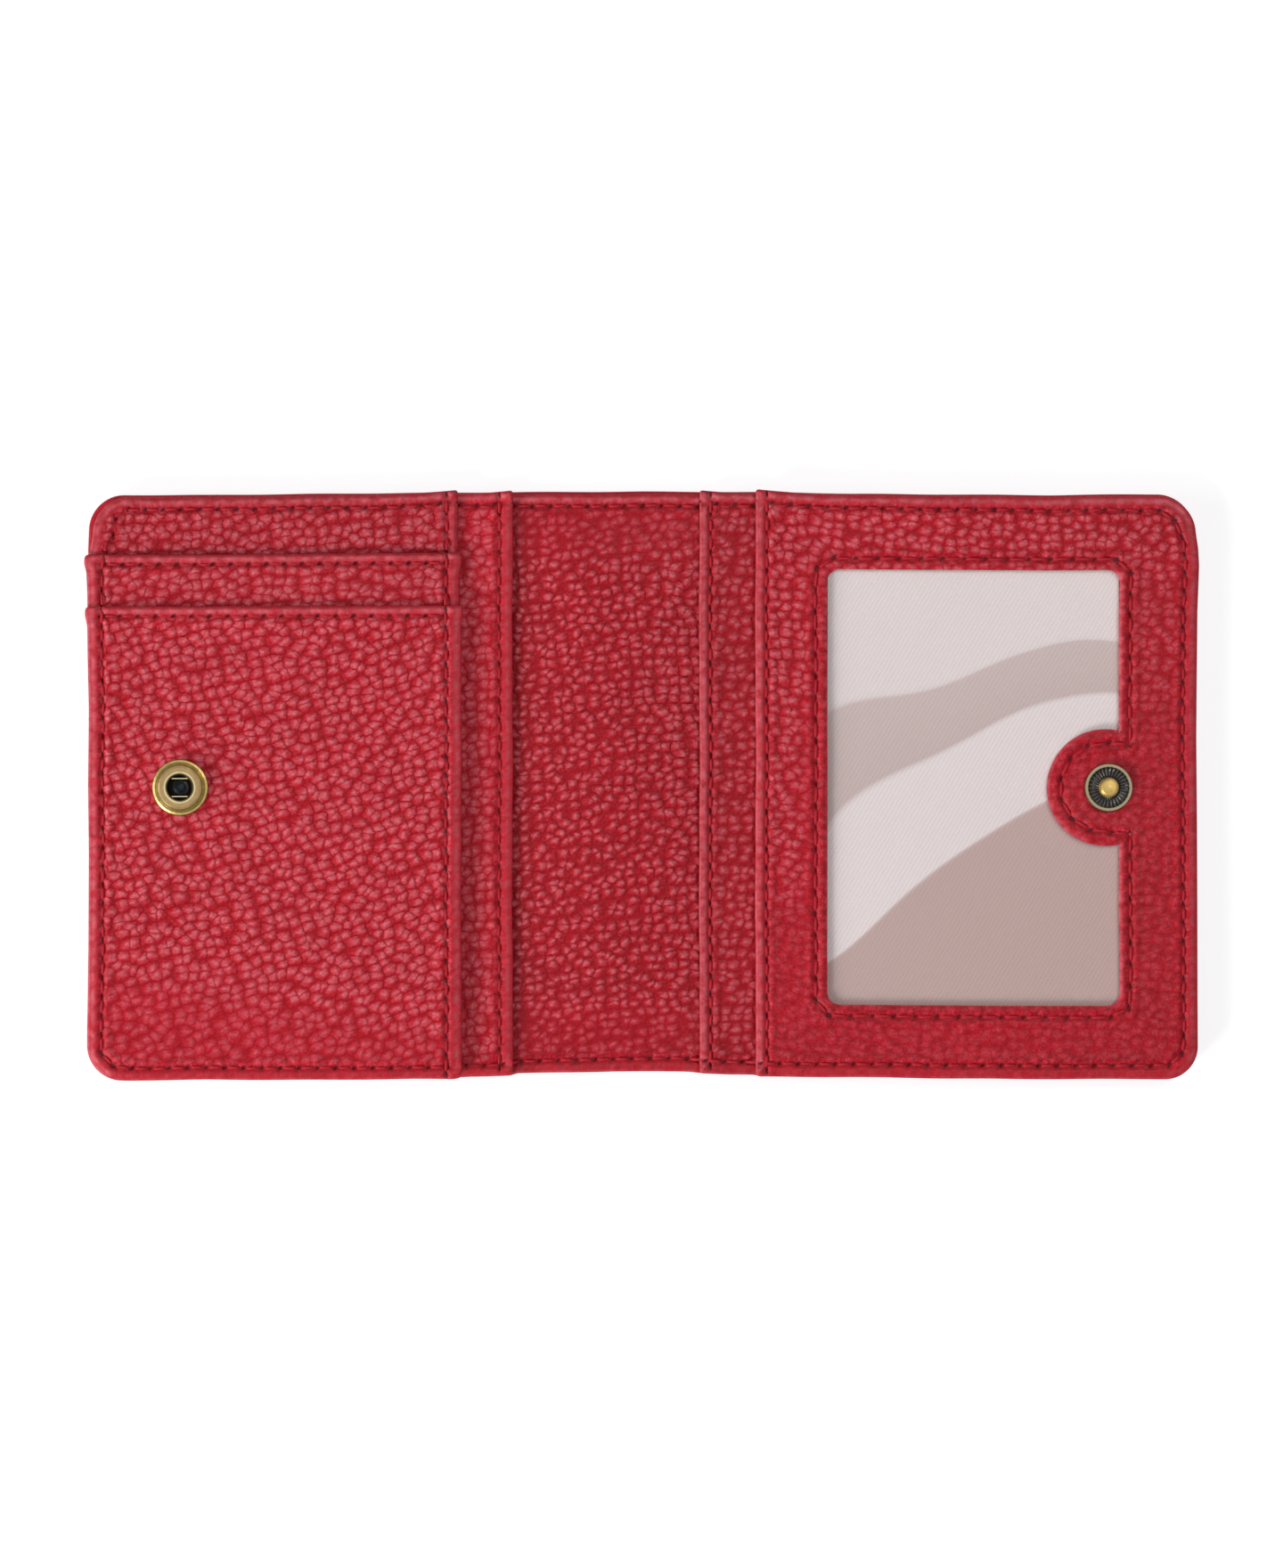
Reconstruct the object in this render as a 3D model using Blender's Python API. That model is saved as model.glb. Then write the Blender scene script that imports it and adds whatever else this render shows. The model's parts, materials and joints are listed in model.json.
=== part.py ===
"""A small leather wallet that opens like a book, lying open with its inside up.

Metres, +Z up. +X runs along the open wallet towards the window, +Y towards its top edge. The
origin is under the middle of the open wallet, on the surface that it lies on.
"""

import math

import bmesh
import bpy
from mathutils import Matrix, Vector

MM = 0.001

# Whole wallet, open
OPEN_WIDTH = 191.4 * MM
HEIGHT = 101.3 * MM
CORNER_RADIUS = 4.6 * MM
SPINE_SHIFT = 0.46 * MM
CENTRE_RISE = 0.95 * MM
SLIP_RISE = 0.4 * MM
NOTE_MOUTH_INSET = 0.5 * MM

# Sheets and the air between them
COVER_THICKNESS = 0.8 * MM
COVER_HEM_WIDTH = 3.2 * MM
INTERLINING_THICKNESS = 0.4 * MM
LINING_THICKNESS = 0.5 * MM
PANEL_THICKNESS = 0.5 * MM
HEM_THICKNESS = 0.4 * MM
HEM_WIDTH = 4.0 * MM
POCKET_THICKNESS = 0.6 * MM
CLOTH_THICKNESS = 0.15 * MM
TWILL_THICKNESS = 0.2 * MM
FILM_THICKNESS = 0.15 * MM
LAYER_GAP = 0.2 * MM
FOLD_GAP = 0.3 * MM
TURNED_EDGE_SHARE = 0.42

# Left leaf: slip pocket and card slots
LEFT_BARE_WIDTH = 18.0 * MM
LEFT_SLIP_OVERHANG = 8.8 * MM
CARD_EDGE_STEP = 0.35 * MM
UPPER_SLOT_DROP = 10.55 * MM
SLOT_PITCH = 9.2 * MM
STRIP_UNDERLAP = 9.0 * MM

# Right leaf: slip pocket and window
RIGHT_BARE_WIDTH = 4.6 * MM
RIGHT_SLIP_OVERHANG = 9.7 * MM
WINDOW_LEFT_MARGIN = 12.4 * MM
WINDOW_RIGHT_MARGIN = 13.4 * MM
WINDOW_TOP_MARGIN = 13.35 * MM
WINDOW_BOTTOM_MARGIN = 12.55 * MM
WINDOW_CORNER_RADIUS = 2.25 * MM
FILM_OVERLAP = 3.0 * MM
TWILL_INSET = 0.3 * MM
TAB_RADIUS = 10.1 * MM
TAB_SHIFT = 0.6 * MM
NOTCH_CLEARANCE = 1.2 * MM

# Press snap
SNAP_INSET = 1.7 * MM
SNAP_DROP = 0.55 * MM
SHEET_METAL = 0.25 * MM
SNAP_CLEARANCE = 0.15 * MM
SNAP_FACE_GAP = 0.15 * MM
LEATHER_HOLE_CLEARANCE = 0.25 * MM
EYELET_RADIUS = 4.0 * MM

# Socket, with radii as shares of its own and heights as shares of the whole height
SOCKET_RADIUS = 4.9 * MM
SOCKET_BORE_RADIUS = 2.08 * MM
SOCKET_OUTSIDE_SHARES = ((0.97, 0), (1, 0.12), (0.97, 0.3), (0.9, 0.38), (0.84, 0.33),
                         (0.8, 0.42), (0.77, 0.85), (0.7, 1))
SOCKET_CAVITY_SHARE = 0.68
SOCKET_LIP_SHARES = ((1.21, 1), (1.07, 0.975), (1, 0.93))
WIRE_RADIUS = 0.15 * MM
BARREL_RADIUS = 1.1 * MM
BARREL_CLEARANCE = 0.2 * MM
CURL_OVERHANG = 0.2 * MM
CURL_HEIGHT = 0.25 * MM
CURL_GAP = 0.05 * MM
BARREL_CROWN_SHARES = ((1, 1), (0.65, 0.8), (0.35, 0.92), (0, 0.98))

# Stud, with radii as shares of the flange's or the head's and heights likewise
STUD_RADIUS = 4.2 * MM
STUD_FLANGE_HEIGHT = 0.6 * MM
STUD_FLANGE_SHARES = ((0.96, 0), (1, 0.5), (0.96, 1), (0.84, 1))
STUD_RECESS_SHARES = ((0.69, 0.6), (0.5, 0.45))
STUD_NECK_RADIUS = 1.25 * MM
STUD_HEAD_HEIGHT = 0.55 * MM
STUD_HEAD_SHARES = ((1, 0.15), (1, 0.45), (0.7, 0.88), (0, 1))
HEAD_CLEARANCE = 0.43 * MM
FLUTE_DEPTH = 0.1 * MM
FLUTES = 30
POST_RADIUS = 0.7 * MM
POST_CLEARANCE = 0.15 * MM
POST_HEADROOM = 0.45 * MM

# Sewing
STITCH_PITCH = 3.2 * MM
THREAD_WIDTH = 0.55 * MM
THREAD_HEIGHT = 0.3 * MM
THREAD_GAP = 0.12 * MM
THREAD_PINCH_SHARE = 0.4
THREAD_RAMP = 0.9 * MM
SEAM_END_GAP = 0.8 * MM
SIDE_SEAM_INSET = 2.3 * MM
TOP_SEAM_INSET = 2.9 * MM
BOTTOM_SEAM_INSET = 2.25 * MM
CENTRE_SEAM_INSET = 2.1 * MM
FREE_EDGE_SEAM_INSET = 1.95 * MM
MOUTH_SEAM_INSET = 1.75 * MM
WINDOW_SEAM_OFFSET = 1.9 * MM
TAB_SEAM_INSET = 2.2 * MM
ROUTE_STEP = 0.1 * MM

# How finely round shapes are cut, and how far cutters overrun
CORNER_STEPS = 5
EDGE_STEPS = 2
TAB_STEPS = 20
SOCKET_STEPS = 32
EYELET_STEPS = 20
CUT_OVERRUN = 1.0 * MM
MERGE_DISTANCE = 0.001 * MM

# Heights in the stack, from the surface that the wallet lies on
interlining_z = COVER_THICKNESS + LAYER_GAP
cover_rim_top = interlining_z + INTERLINING_THICKNESS
lining_z = cover_rim_top + LAYER_GAP
lining_top = lining_z + LINING_THICKNESS
slip_z = lining_top + LAYER_GAP
slip_top = slip_z + HEM_THICKNESS + PANEL_THICKNESS
card_panel_z = slip_top + LAYER_GAP
card_panel_top = card_panel_z + HEM_THICKNESS + PANEL_THICKNESS
strip_z = card_panel_top + LAYER_GAP
strip_top = strip_z + POCKET_THICKNESS
pocket_hem_z = strip_z + CLOTH_THICKNESS + LAYER_GAP
pocket_z = strip_top + LAYER_GAP
pocket_top = pocket_z + POCKET_THICKNESS
twill_z = slip_top + LAYER_GAP
film_z = twill_z + TWILL_THICKNESS + LAYER_GAP
frame_plate_z = film_z + FILM_THICKNESS + LAYER_GAP
frame_top = frame_plate_z + POCKET_THICKNESS

# Snap heights: what the socket has to hold, from its base up
socket_seat_z = pocket_top + LAYER_GAP
stud_seat_z = frame_top + LAYER_GAP
curl_top = SHEET_METAL + CURL_HEIGHT
head_tip_in_socket = curl_top + SNAP_CLEARANCE
head_back_in_socket = head_tip_in_socket + STUD_HEAD_HEIGHT
wire_in_socket = head_back_in_socket + SNAP_CLEARANCE + WIRE_RADIUS
socket_height = wire_in_socket + WIRE_RADIUS + SNAP_CLEARANCE + SHEET_METAL
snap_space = socket_height + SNAP_FACE_GAP + STUD_FLANGE_HEIGHT
stud_head_back = snap_space - head_back_in_socket
stud_head_radius = SOCKET_BORE_RADIUS - HEAD_CLEARANCE
socket_cavity_radius = SOCKET_RADIUS * SOCKET_CAVITY_SHARE

# The two folds stand as far apart as the closed leaves and the snap between them need
fold_z = lining_top
fold_spacing = (socket_seat_z - fold_z) + (stud_seat_z - fold_z) + snap_space
left_fold_x = SPINE_SHIFT - fold_spacing / 2
right_fold_x = SPINE_SHIFT + fold_spacing / 2

# Edges and lines across the open wallet
left_edge = -OPEN_WIDTH / 2
right_edge = OPEN_WIDTH / 2
top_edge = HEIGHT / 2
bottom_edge = -HEIGHT / 2
inner_top = top_edge - NOTE_MOUTH_INSET
middle_bottom = bottom_edge + CENTRE_RISE
left_slip_edge = left_fold_x - LEFT_BARE_WIDTH
card_edge = left_slip_edge - LEFT_SLIP_OVERHANG
strip_edge = card_edge - CARD_EDGE_STEP
card_panel_edge = strip_edge - CARD_EDGE_STEP
right_slip_edge = right_fold_x + RIGHT_BARE_WIDTH
frame_edge = right_slip_edge + RIGHT_SLIP_OVERHANG
upper_mouth = top_edge - UPPER_SLOT_DROP
lower_mouth = upper_mouth - SLOT_PITCH
strip_bottom = lower_mouth - STRIP_UNDERLAP
cloth_top = strip_bottom - LAYER_GAP
window_left = frame_edge + WINDOW_LEFT_MARGIN
window_right = right_edge - WINDOW_RIGHT_MARGIN
window_top = top_edge - WINDOW_TOP_MARGIN
window_bottom = bottom_edge + WINDOW_BOTTOM_MARGIN
snap_y = -SNAP_DROP
stud_x = window_right - SNAP_INSET
socket_x = 2 * SPINE_SHIFT - stud_x
tab_x = stud_x - TAB_SHIFT

# Looks: colour in sRGB hex, roughness, metallic
LEATHER = ("A92F37", 0.55, 0.0)
INTERLINING = ("D8D2C8", 0.9, 0.0)
CLOTH = ("5E2A30", 0.85, 0.0)
TWILL = ("D5C5C5", 0.8, 0.0)
FILM = ("E8E6E4", 0.15, 0.0)
THREAD = ("7E1F2B", 0.7, 0.0)
BRASS = ("B08A4E", 0.3, 1.0)
SPRING_STEEL = ("8C8A86", 0.25, 1.0)

SQUARE = (0, 0, 0, 0)


def srgb_to_linear(hex_colour):
    """A colour written as six hex digits, as the linear values that a shader takes."""
    parts = [int(hex_colour[i:i + 2], 16) / 255 for i in (0, 2, 4)]
    linear = [c / 12.92 if c <= 0.04045 else ((c + 0.055) / 1.055) ** 2.4 for c in parts]
    return (*linear, 1.0)


def add_object(name, data, look, hinge):
    """Makes the mesh or curve an object of the given look, carried by a hinge if it has one."""
    obj = bpy.data.objects.new(name, data)
    bpy.context.scene.collection.objects.link(obj)
    if look:
        colour, roughness, metallic = look
        material = bpy.data.materials.new(name)
        material.use_nodes = True
        shader = material.node_tree.nodes["Principled BSDF"]
        shader.inputs["Base Color"].default_value = srgb_to_linear(colour)
        shader.inputs["Roughness"].default_value = roughness
        shader.inputs["Metallic"].default_value = metallic
        data.materials.append(material)
    if hinge:
        obj.parent = hinge
        obj.matrix_parent_inverse = Matrix.Translation(-hinge.location)
    return obj


def add_piece(name, bm, look, hinge=None):
    bmesh.ops.recalc_face_normals(bm, faces=bm.faces)
    mesh = bpy.data.meshes.new(name)
    bm.to_mesh(mesh)
    bm.free()
    return add_object(name, mesh, look, hinge)


def add_hinge(name, x):
    """An empty on a fold's axis, which carries everything that the fold turns."""
    hinge = bpy.data.objects.new(name, None)
    hinge.location = (x, 0, fold_z)
    bpy.context.scene.collection.objects.link(hinge)
    return hinge


def cut(obj, name, outline, z_low, z_high):
    """Takes an upright prism out of the piece."""
    cutter = add_piece(name, prism(outline, z_low, z_high - z_low), None)
    cutter.hide_render = True
    cutter.display_type = "WIRE"
    cutter.parent = obj.parent
    cutter.matrix_parent_inverse = obj.matrix_parent_inverse
    modifier = obj.modifiers.new(name, "BOOLEAN")
    modifier.operation = "DIFFERENCE"
    modifier.solver = "EXACT"
    modifier.object = cutter


def arc(centre_x, centre_y, radius, start, end, steps):
    """Points of an arc, its angles in degrees."""
    angles = [math.radians(start + (end - start) * i / steps) for i in range(steps + 1)]
    return [(centre_x + radius * math.cos(a), centre_y + radius * math.sin(a)) for a in angles]


def rounded_box(x_low, x_high, y_low, y_high, radii):
    """An anticlockwise outline, its corner radii from the lower left round to the upper left."""
    corners = ((x_low, y_low, 1, 1), (x_high, y_low, -1, 1),
               (x_high, y_high, -1, -1), (x_low, y_high, 1, -1))
    points = []
    for turn, ((x, y, inward_x, inward_y), radius) in enumerate(zip(corners, radii)):
        start = 180 + 90 * turn
        if radius:
            points += arc(x + inward_x * radius, y + inward_y * radius, radius,
                          start, start + 90, CORNER_STEPS)
        else:
            points.append((x, y))
    return points


def outer_radii(outer_x, radius):
    """Corner radii of a sheet that is rounded on the wallet's outer side only."""
    return (radius, 0, 0, radius) if outer_x < 0 else (0, radius, radius, 0)


def prism(outline, z_low, height):
    """A flat outline swept straight up."""
    bm = bmesh.new()
    near = [bm.verts.new((x, y, z_low)) for x, y in outline]
    far = [bm.verts.new((x, y, z_low + height)) for x, y in outline]
    bm.faces.new(near)
    bm.faces.new(far)
    for i in range(len(outline)):
        j = (i + 1) % len(outline)
        bm.faces.new((near[i], near[j], far[j], far[i]))
    bmesh.ops.recalc_face_normals(bm, faces=bm.faces)
    return bm


def turned_plate(outline, z_low, thickness, cut_x=None):
    """A sheet with round, turned edges, but for one that is cut square at cut_x."""
    bm = prism(outline, z_low, thickness)
    rim = []
    for edge in bm.edges:
        a, b = (vert.co for vert in edge.verts)
        at_cut = cut_x is not None and max(abs(a.x - cut_x), abs(b.x - cut_x)) < MERGE_DISTANCE
        if a.z == b.z and not at_cut:
            rim.append(edge)
    bmesh.ops.bevel(bm, geom=rim, offset=thickness * TURNED_EDGE_SHARE, segments=EDGE_STEPS,
                    profile=0.5, affect="EDGES")
    return bm


def hemmed_panel(outline, z_low, hem, sheet):
    """A pocket front whose edges are turned under all round, as a hem below the sheet."""
    bm = turned_plate(outline, z_low, hem + sheet)
    under = min(bm.faces, key=lambda face: face.calc_center_median().z)
    bmesh.ops.inset_region(bm, faces=[under], thickness=HEM_WIDTH, use_even_offset=True)
    grown = bmesh.ops.extrude_face_region(bm, geom=[under])
    raised = [item for item in grown["geom"] if isinstance(item, bmesh.types.BMVert)]
    bm.faces.remove(under)
    bmesh.ops.translate(bm, vec=(0, 0, hem), verts=raised)
    return bm


def leaf_outline(outer_x, fold_x, pocket_x, slip_x, top):
    """Outline of a shell sheet on one leaf. Its lower edge rises towards the fold."""
    low_x, high_x = sorted((outer_x, fold_x))
    points = rounded_box(low_x, high_x, bottom_edge, top, outer_radii(outer_x, CORNER_RADIUS))
    at_fold = points.index((fold_x, bottom_edge))
    rise = [(pocket_x, bottom_edge), (slip_x, middle_bottom), (fold_x, middle_bottom)]
    points[at_fold:at_fold + 1] = rise if outer_x < 0 else rise[::-1]
    return points


def add_shell():
    """Outer leather, interlining and inner leather, each in three parts that meet at the folds."""
    half = FOLD_GAP / 2
    for side, outer, fold_x, pocket_x, slip_x, hinge in (
            ("left", left_edge, left_fold_x - half, card_edge, left_slip_edge, left_fold),
            ("right", right_edge, right_fold_x + half, frame_edge, right_slip_edge, right_fold)):
        outline = leaf_outline(outer, fold_x, pocket_x, slip_x, top_edge)
        cover = add_piece(f"{side}_cover", turned_plate(outline, 0, cover_rim_top, fold_x),
                          LEATHER, hinge)
        inward = math.copysign(1, -outer)
        bed_outer = outer + inward * COVER_HEM_WIDTH
        bed_inner = fold_x + inward * CUT_OVERRUN
        cut_bed(cover, f"{side}_bed", *sorted((bed_outer, bed_inner)))
        bed_outer += inward * LAYER_GAP
        add_interlining(f"{side}_interlining", *sorted((bed_outer, fold_x)), hinge)
        outline = leaf_outline(outer, fold_x, pocket_x, slip_x, inner_top)
        bm = turned_plate(outline, lining_z, LINING_THICKNESS, fold_x)
        add_piece(f"{side}_lining", bm, LEATHER, hinge)

    low_x = left_fold_x + half
    high_x = right_fold_x - half
    outline = rounded_box(low_x, high_x, middle_bottom, top_edge, SQUARE)
    cover = add_piece("spine_cover", prism(outline, 0, cover_rim_top), LEATHER)
    cut_bed(cover, "spine_bed", low_x - CUT_OVERRUN, high_x + CUT_OVERRUN)
    add_interlining("spine_interlining", low_x, high_x, None)
    outline = rounded_box(low_x, high_x, middle_bottom, inner_top, SQUARE)
    add_piece("spine_lining", prism(outline, lining_z, LINING_THICKNESS), LEATHER)


def cut_bed(cover, name, low_x, high_x):
    """Leaves the outer leather's turned edge standing round the interlining's bed."""
    outline = rounded_box(low_x, high_x, middle_bottom + COVER_HEM_WIDTH,
                          top_edge - COVER_HEM_WIDTH, SQUARE)
    cut(cover, name, outline, COVER_THICKNESS, cover_rim_top + CUT_OVERRUN)


def add_interlining(name, low_x, high_x, hinge):
    inset = COVER_HEM_WIDTH + LAYER_GAP
    outline = rounded_box(low_x, high_x, middle_bottom + inset, top_edge - inset, SQUARE)
    add_piece(name, prism(outline, interlining_z, INTERLINING_THICKNESS), INTERLINING, hinge)


def add_slip_panels():
    """The fronts of the two slip pockets, each with a turned edge towards the fold."""
    for side, outer, edge, hinge in (("left", left_edge, left_slip_edge, left_fold),
                                     ("right", right_edge, right_slip_edge, right_fold)):
        low_x, high_x = sorted((outer, edge))
        outline = rounded_box(low_x, high_x, bottom_edge + SLIP_RISE, inner_top,
                              outer_radii(outer, CORNER_RADIUS))
        bm = hemmed_panel(outline, slip_z, HEM_THICKNESS, PANEL_THICKNESS)
        add_piece(f"{side}_slip_panel", bm, LEATHER, hinge)


def add_card_slots():
    """Base panel, upper strip with its cloth, and the pocket front that carries the socket."""
    outline = rounded_box(left_edge, card_panel_edge, bottom_edge, inner_top,
                          outer_radii(left_edge, CORNER_RADIUS))
    bm = hemmed_panel(outline, card_panel_z, HEM_THICKNESS, PANEL_THICKNESS)
    add_piece("card_panel", bm, LEATHER, left_fold)

    outline = rounded_box(left_edge, strip_edge, strip_bottom, upper_mouth, SQUARE)
    bm = turned_plate(outline, strip_z, POCKET_THICKNESS)
    add_piece("card_strip", bm, LEATHER, left_fold)

    lower_corner = (CORNER_RADIUS, 0, 0, 0)
    outline = rounded_box(left_edge, strip_edge, bottom_edge, cloth_top, lower_corner)
    add_piece("slot_lining", prism(outline, strip_z, CLOTH_THICKNESS), CLOTH, left_fold)

    outline = rounded_box(left_edge, card_edge, bottom_edge, lower_mouth, lower_corner)
    bm = turned_plate(outline, pocket_hem_z, pocket_top - pocket_hem_z)
    pocket = add_piece("card_pocket", bm, LEATHER, left_fold)
    inside_left = left_edge + HEM_WIDTH
    inside_right = card_edge - HEM_WIDTH
    inside_low = bottom_edge + HEM_WIDTH
    hollow = [(inside_left, inside_low), (inside_right, inside_low), (inside_right, cloth_top),
              (card_edge + CUT_OVERRUN, cloth_top),
              (card_edge + CUT_OVERRUN, lower_mouth + CUT_OVERRUN),
              (left_edge - CUT_OVERRUN, lower_mouth + CUT_OVERRUN),
              (left_edge - CUT_OVERRUN, cloth_top), (inside_left, cloth_top)]
    cut(pocket, "pocket_hollow", hollow, pocket_hem_z - CUT_OVERRUN, pocket_z)
    cut_hole(pocket, "socket_hole", socket_x, BARREL_RADIUS, pocket_z)


def cut_hole(obj, name, x, post_radius, z_low):
    """The hole in the leather that an eyelet passes through."""
    outline = arc(x, snap_y, post_radius + LEATHER_HOLE_CLEARANCE, 0, 360, EYELET_STEPS)[:-1]
    cut(obj, name, outline, z_low - CUT_OVERRUN, z_low + POCKET_THICKNESS + CUT_OVERRUN)


def tab_angle(x, radius):
    """Angle in degrees at which a circle about the tab's centre crosses this X."""
    return math.degrees(math.acos((x - tab_x) / radius))


def window_outline():
    """The cut-out, anticlockwise, with the round tab left standing in its right side."""
    half = tab_angle(window_right, TAB_RADIUS)
    box = rounded_box(window_left, window_right, window_bottom, window_top,
                      (WINDOW_CORNER_RADIUS,) * 4)
    lower_half = 2 * (CORNER_STEPS + 1)
    tab = arc(tab_x, snap_y, TAB_RADIUS, 360 - half, half, TAB_STEPS)
    return box[:lower_half] + tab + box[lower_half:]


def backing_outline(overlap):
    """A sheet behind the window, cut away round the back of the stud."""
    left = window_left - overlap
    right = window_right + overlap
    low = window_bottom - overlap
    high = window_top + overlap
    notch = arc(stud_x, snap_y, EYELET_RADIUS + NOTCH_CLEARANCE, 270, 90, TAB_STEPS)
    return [(left, low), (right, low), (right, notch[0][1]), *notch, (right, notch[-1][1]),
            (right, high), (left, high)]


def add_window():
    """Twill lining, clear film and the leather frame with its tab."""
    outline = backing_outline(FILM_OVERLAP - TWILL_INSET)
    add_piece("window_lining", prism(outline, twill_z, TWILL_THICKNESS), TWILL, right_fold)
    outline = backing_outline(FILM_OVERLAP)
    add_piece("window_film", prism(outline, film_z, FILM_THICKNESS), FILM, right_fold)

    outline = rounded_box(frame_edge, right_edge, bottom_edge, inner_top,
                          outer_radii(right_edge, CORNER_RADIUS))
    bm = hemmed_panel(outline, twill_z, frame_plate_z - twill_z, POCKET_THICKNESS)
    frame = add_piece("window_frame", bm, LEATHER, right_fold)
    cut(frame, "window_opening", window_outline(), frame_plate_z - CUT_OVERRUN,
        frame_top + CUT_OVERRUN)
    cut_hole(frame, "stud_hole", stud_x, POST_RADIUS, frame_plate_z)


def turned(profile, x, z, steps):
    """Spins a profile of radii and heights about an upright axis through the snap.

    The profile runs from axis to axis, or closes on itself where it starts off the axis.
    """
    bm = bmesh.new()
    verts = [bm.verts.new((x + radius, snap_y, z + height)) for radius, height in profile]
    edges = [bm.edges.new(pair) for pair in zip(verts, verts[1:])]
    if profile[0][0] > 0:
        edges.append(bm.edges.new((verts[-1], verts[0])))
    bmesh.ops.spin(bm, geom=verts + edges, cent=(x, snap_y, z), axis=(0, 0, 1),
                   angle=math.tau, steps=steps, use_merge=True)
    bmesh.ops.remove_doubles(bm, verts=bm.verts, dist=MERGE_DISTANCE)
    return bm


def scaled(shares, radius, height, base=0.0):
    """A profile's points from shares of a radius and of a height."""
    return [(radius * across, base + height * up) for across, up in shares]


def add_socket():
    """Brass socket on the card pocket, with the spring wire that grips the stud's neck."""
    ceiling = socket_height - SHEET_METAL
    base_hole = BARREL_RADIUS + BARREL_CLEARANCE
    profile = [(base_hole, 0), *scaled(SOCKET_OUTSIDE_SHARES, SOCKET_RADIUS, socket_height),
               *scaled(SOCKET_LIP_SHARES, SOCKET_BORE_RADIUS, socket_height),
               (SOCKET_BORE_RADIUS, ceiling), (socket_cavity_radius, ceiling),
               (socket_cavity_radius, SHEET_METAL), (base_hole, SHEET_METAL)]
    bm = turned(profile, socket_x, socket_seat_z, SOCKET_STEPS)
    add_piece("snap_socket", bm, BRASS, left_fold)

    side = STUD_NECK_RADIUS + SNAP_CLEARANCE + WIRE_RADIUS
    reach = socket_cavity_radius - SNAP_CLEARANCE - WIRE_RADIUS
    free_end = math.sqrt(reach ** 2 - side ** 2) - WIRE_RADIUS
    bend = arc(side - reach, 0, side, 90, 270, 2 * CORNER_STEPS)
    route = [(free_end, side), (0, side), *bend, (0, -side), (free_end, -side)]
    wire = bpy.data.curves.new("socket_spring", "CURVE")
    wire.dimensions = "3D"
    wire.bevel_depth = WIRE_RADIUS
    wire.bevel_resolution = 1
    wire.use_fill_caps = True
    spline = wire.splines.new("POLY")
    spline.points.add(len(route) - 1)
    for point, (x, y) in zip(spline.points, route):
        point.co = (socket_x + x, snap_y + y, socket_seat_z + wire_in_socket, 1)
    add_object("socket_spring", wire, SPRING_STEEL, left_fold)


def eyelet_disc():
    """Profile of an eyelet's disc, which clamps the leather from behind, from the axis out."""
    top = -LAYER_GAP - POCKET_THICKNESS - LAYER_GAP
    return [(0, top - SHEET_METAL), (EYELET_RADIUS, top - SHEET_METAL), (EYELET_RADIUS, top)], top


def add_socket_eyelet():
    """The rivet behind the card pocket, its barrel curled over the socket's base."""
    disc, disc_top = eyelet_disc()
    curl = BARREL_RADIUS + BARREL_CLEARANCE + CURL_OVERHANG
    low = SHEET_METAL + CURL_GAP
    profile = [*disc, (BARREL_RADIUS, disc_top), (BARREL_RADIUS, low), (curl, low),
               (curl, (low + curl_top) / 2),
               *scaled(BARREL_CROWN_SHARES, BARREL_RADIUS, curl_top)]
    bm = turned(profile, socket_x, socket_seat_z, EYELET_STEPS)
    add_piece("socket_eyelet", bm, BRASS, left_fold)


def add_stud():
    """Brass stud on the tab, with a fluted recess round its neck, and the rivet behind it."""
    bore = POST_RADIUS + POST_CLEARANCE
    bore_top = stud_head_back - POST_HEADROOM
    recess = scaled(STUD_RECESS_SHARES, STUD_RADIUS, STUD_FLANGE_HEIGHT)
    profile = [(0, bore_top), (bore, bore_top), (bore, 0),
               *scaled(STUD_FLANGE_SHARES, STUD_RADIUS, STUD_FLANGE_HEIGHT), *recess,
               (STUD_NECK_RADIUS, STUD_FLANGE_HEIGHT), (STUD_NECK_RADIUS, stud_head_back),
               *scaled(STUD_HEAD_SHARES, stud_head_radius, STUD_HEAD_HEIGHT, stud_head_back)]
    bm = turned(profile, stud_x, stud_seat_z, 2 * FLUTES)
    lower_flutes(bm, recess)
    add_piece("snap_stud", bm, BRASS, right_fold)

    disc, disc_top = eyelet_disc()
    post_top = bore_top - POST_CLEARANCE
    profile = [*disc, (POST_RADIUS, disc_top), (POST_RADIUS, post_top), (0, post_top)]
    bm = turned(profile, stud_x, stud_seat_z, EYELET_STEPS)
    add_piece("stud_eyelet", bm, BRASS, right_fold)


def lower_flutes(bm, recess):
    """Lowers every other spoke of the recess, so that radial flutes stand between them."""
    places = [(radius, stud_seat_z + height) for radius, height in recess]
    for vert in bm.verts:
        across = Vector((vert.co.x - stud_x, vert.co.y - snap_y))
        in_recess = any(abs(across.length - radius) < MERGE_DISTANCE
                        and abs(vert.co.z - z) < MERGE_DISTANCE for radius, z in places)
        spoke = round(math.atan2(across.y, across.x) / math.tau * 2 * FLUTES)
        if in_recess and spoke % 2:
            vert.co.z -= FLUTE_DEPTH


def leather_tops():
    """Boxes of the leather seen from above, each with its height, for threads to lie on."""
    return (
        (left_edge, right_edge, bottom_edge, top_edge, lining_top),
        (left_edge, left_slip_edge, bottom_edge, top_edge, slip_top),
        (left_edge, card_panel_edge, bottom_edge, top_edge, card_panel_top),
        (left_edge, strip_edge, strip_bottom, upper_mouth, strip_top),
        (left_edge, card_edge, bottom_edge, lower_mouth, pocket_top),
        (right_slip_edge, right_edge, bottom_edge, top_edge, slip_top),
        (frame_edge, right_edge, bottom_edge, top_edge, frame_top),
    )


def leather_height(point):
    """The height on which a thread lies here, clear of any edge within half its width."""
    reach = THREAD_WIDTH / 2 + THREAD_GAP
    return max(z for x_low, x_high, y_low, y_high, z in leather_tops()
               if x_low - reach < point.x < x_high + reach
               and y_low - reach < point.y < y_high + reach)


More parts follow.
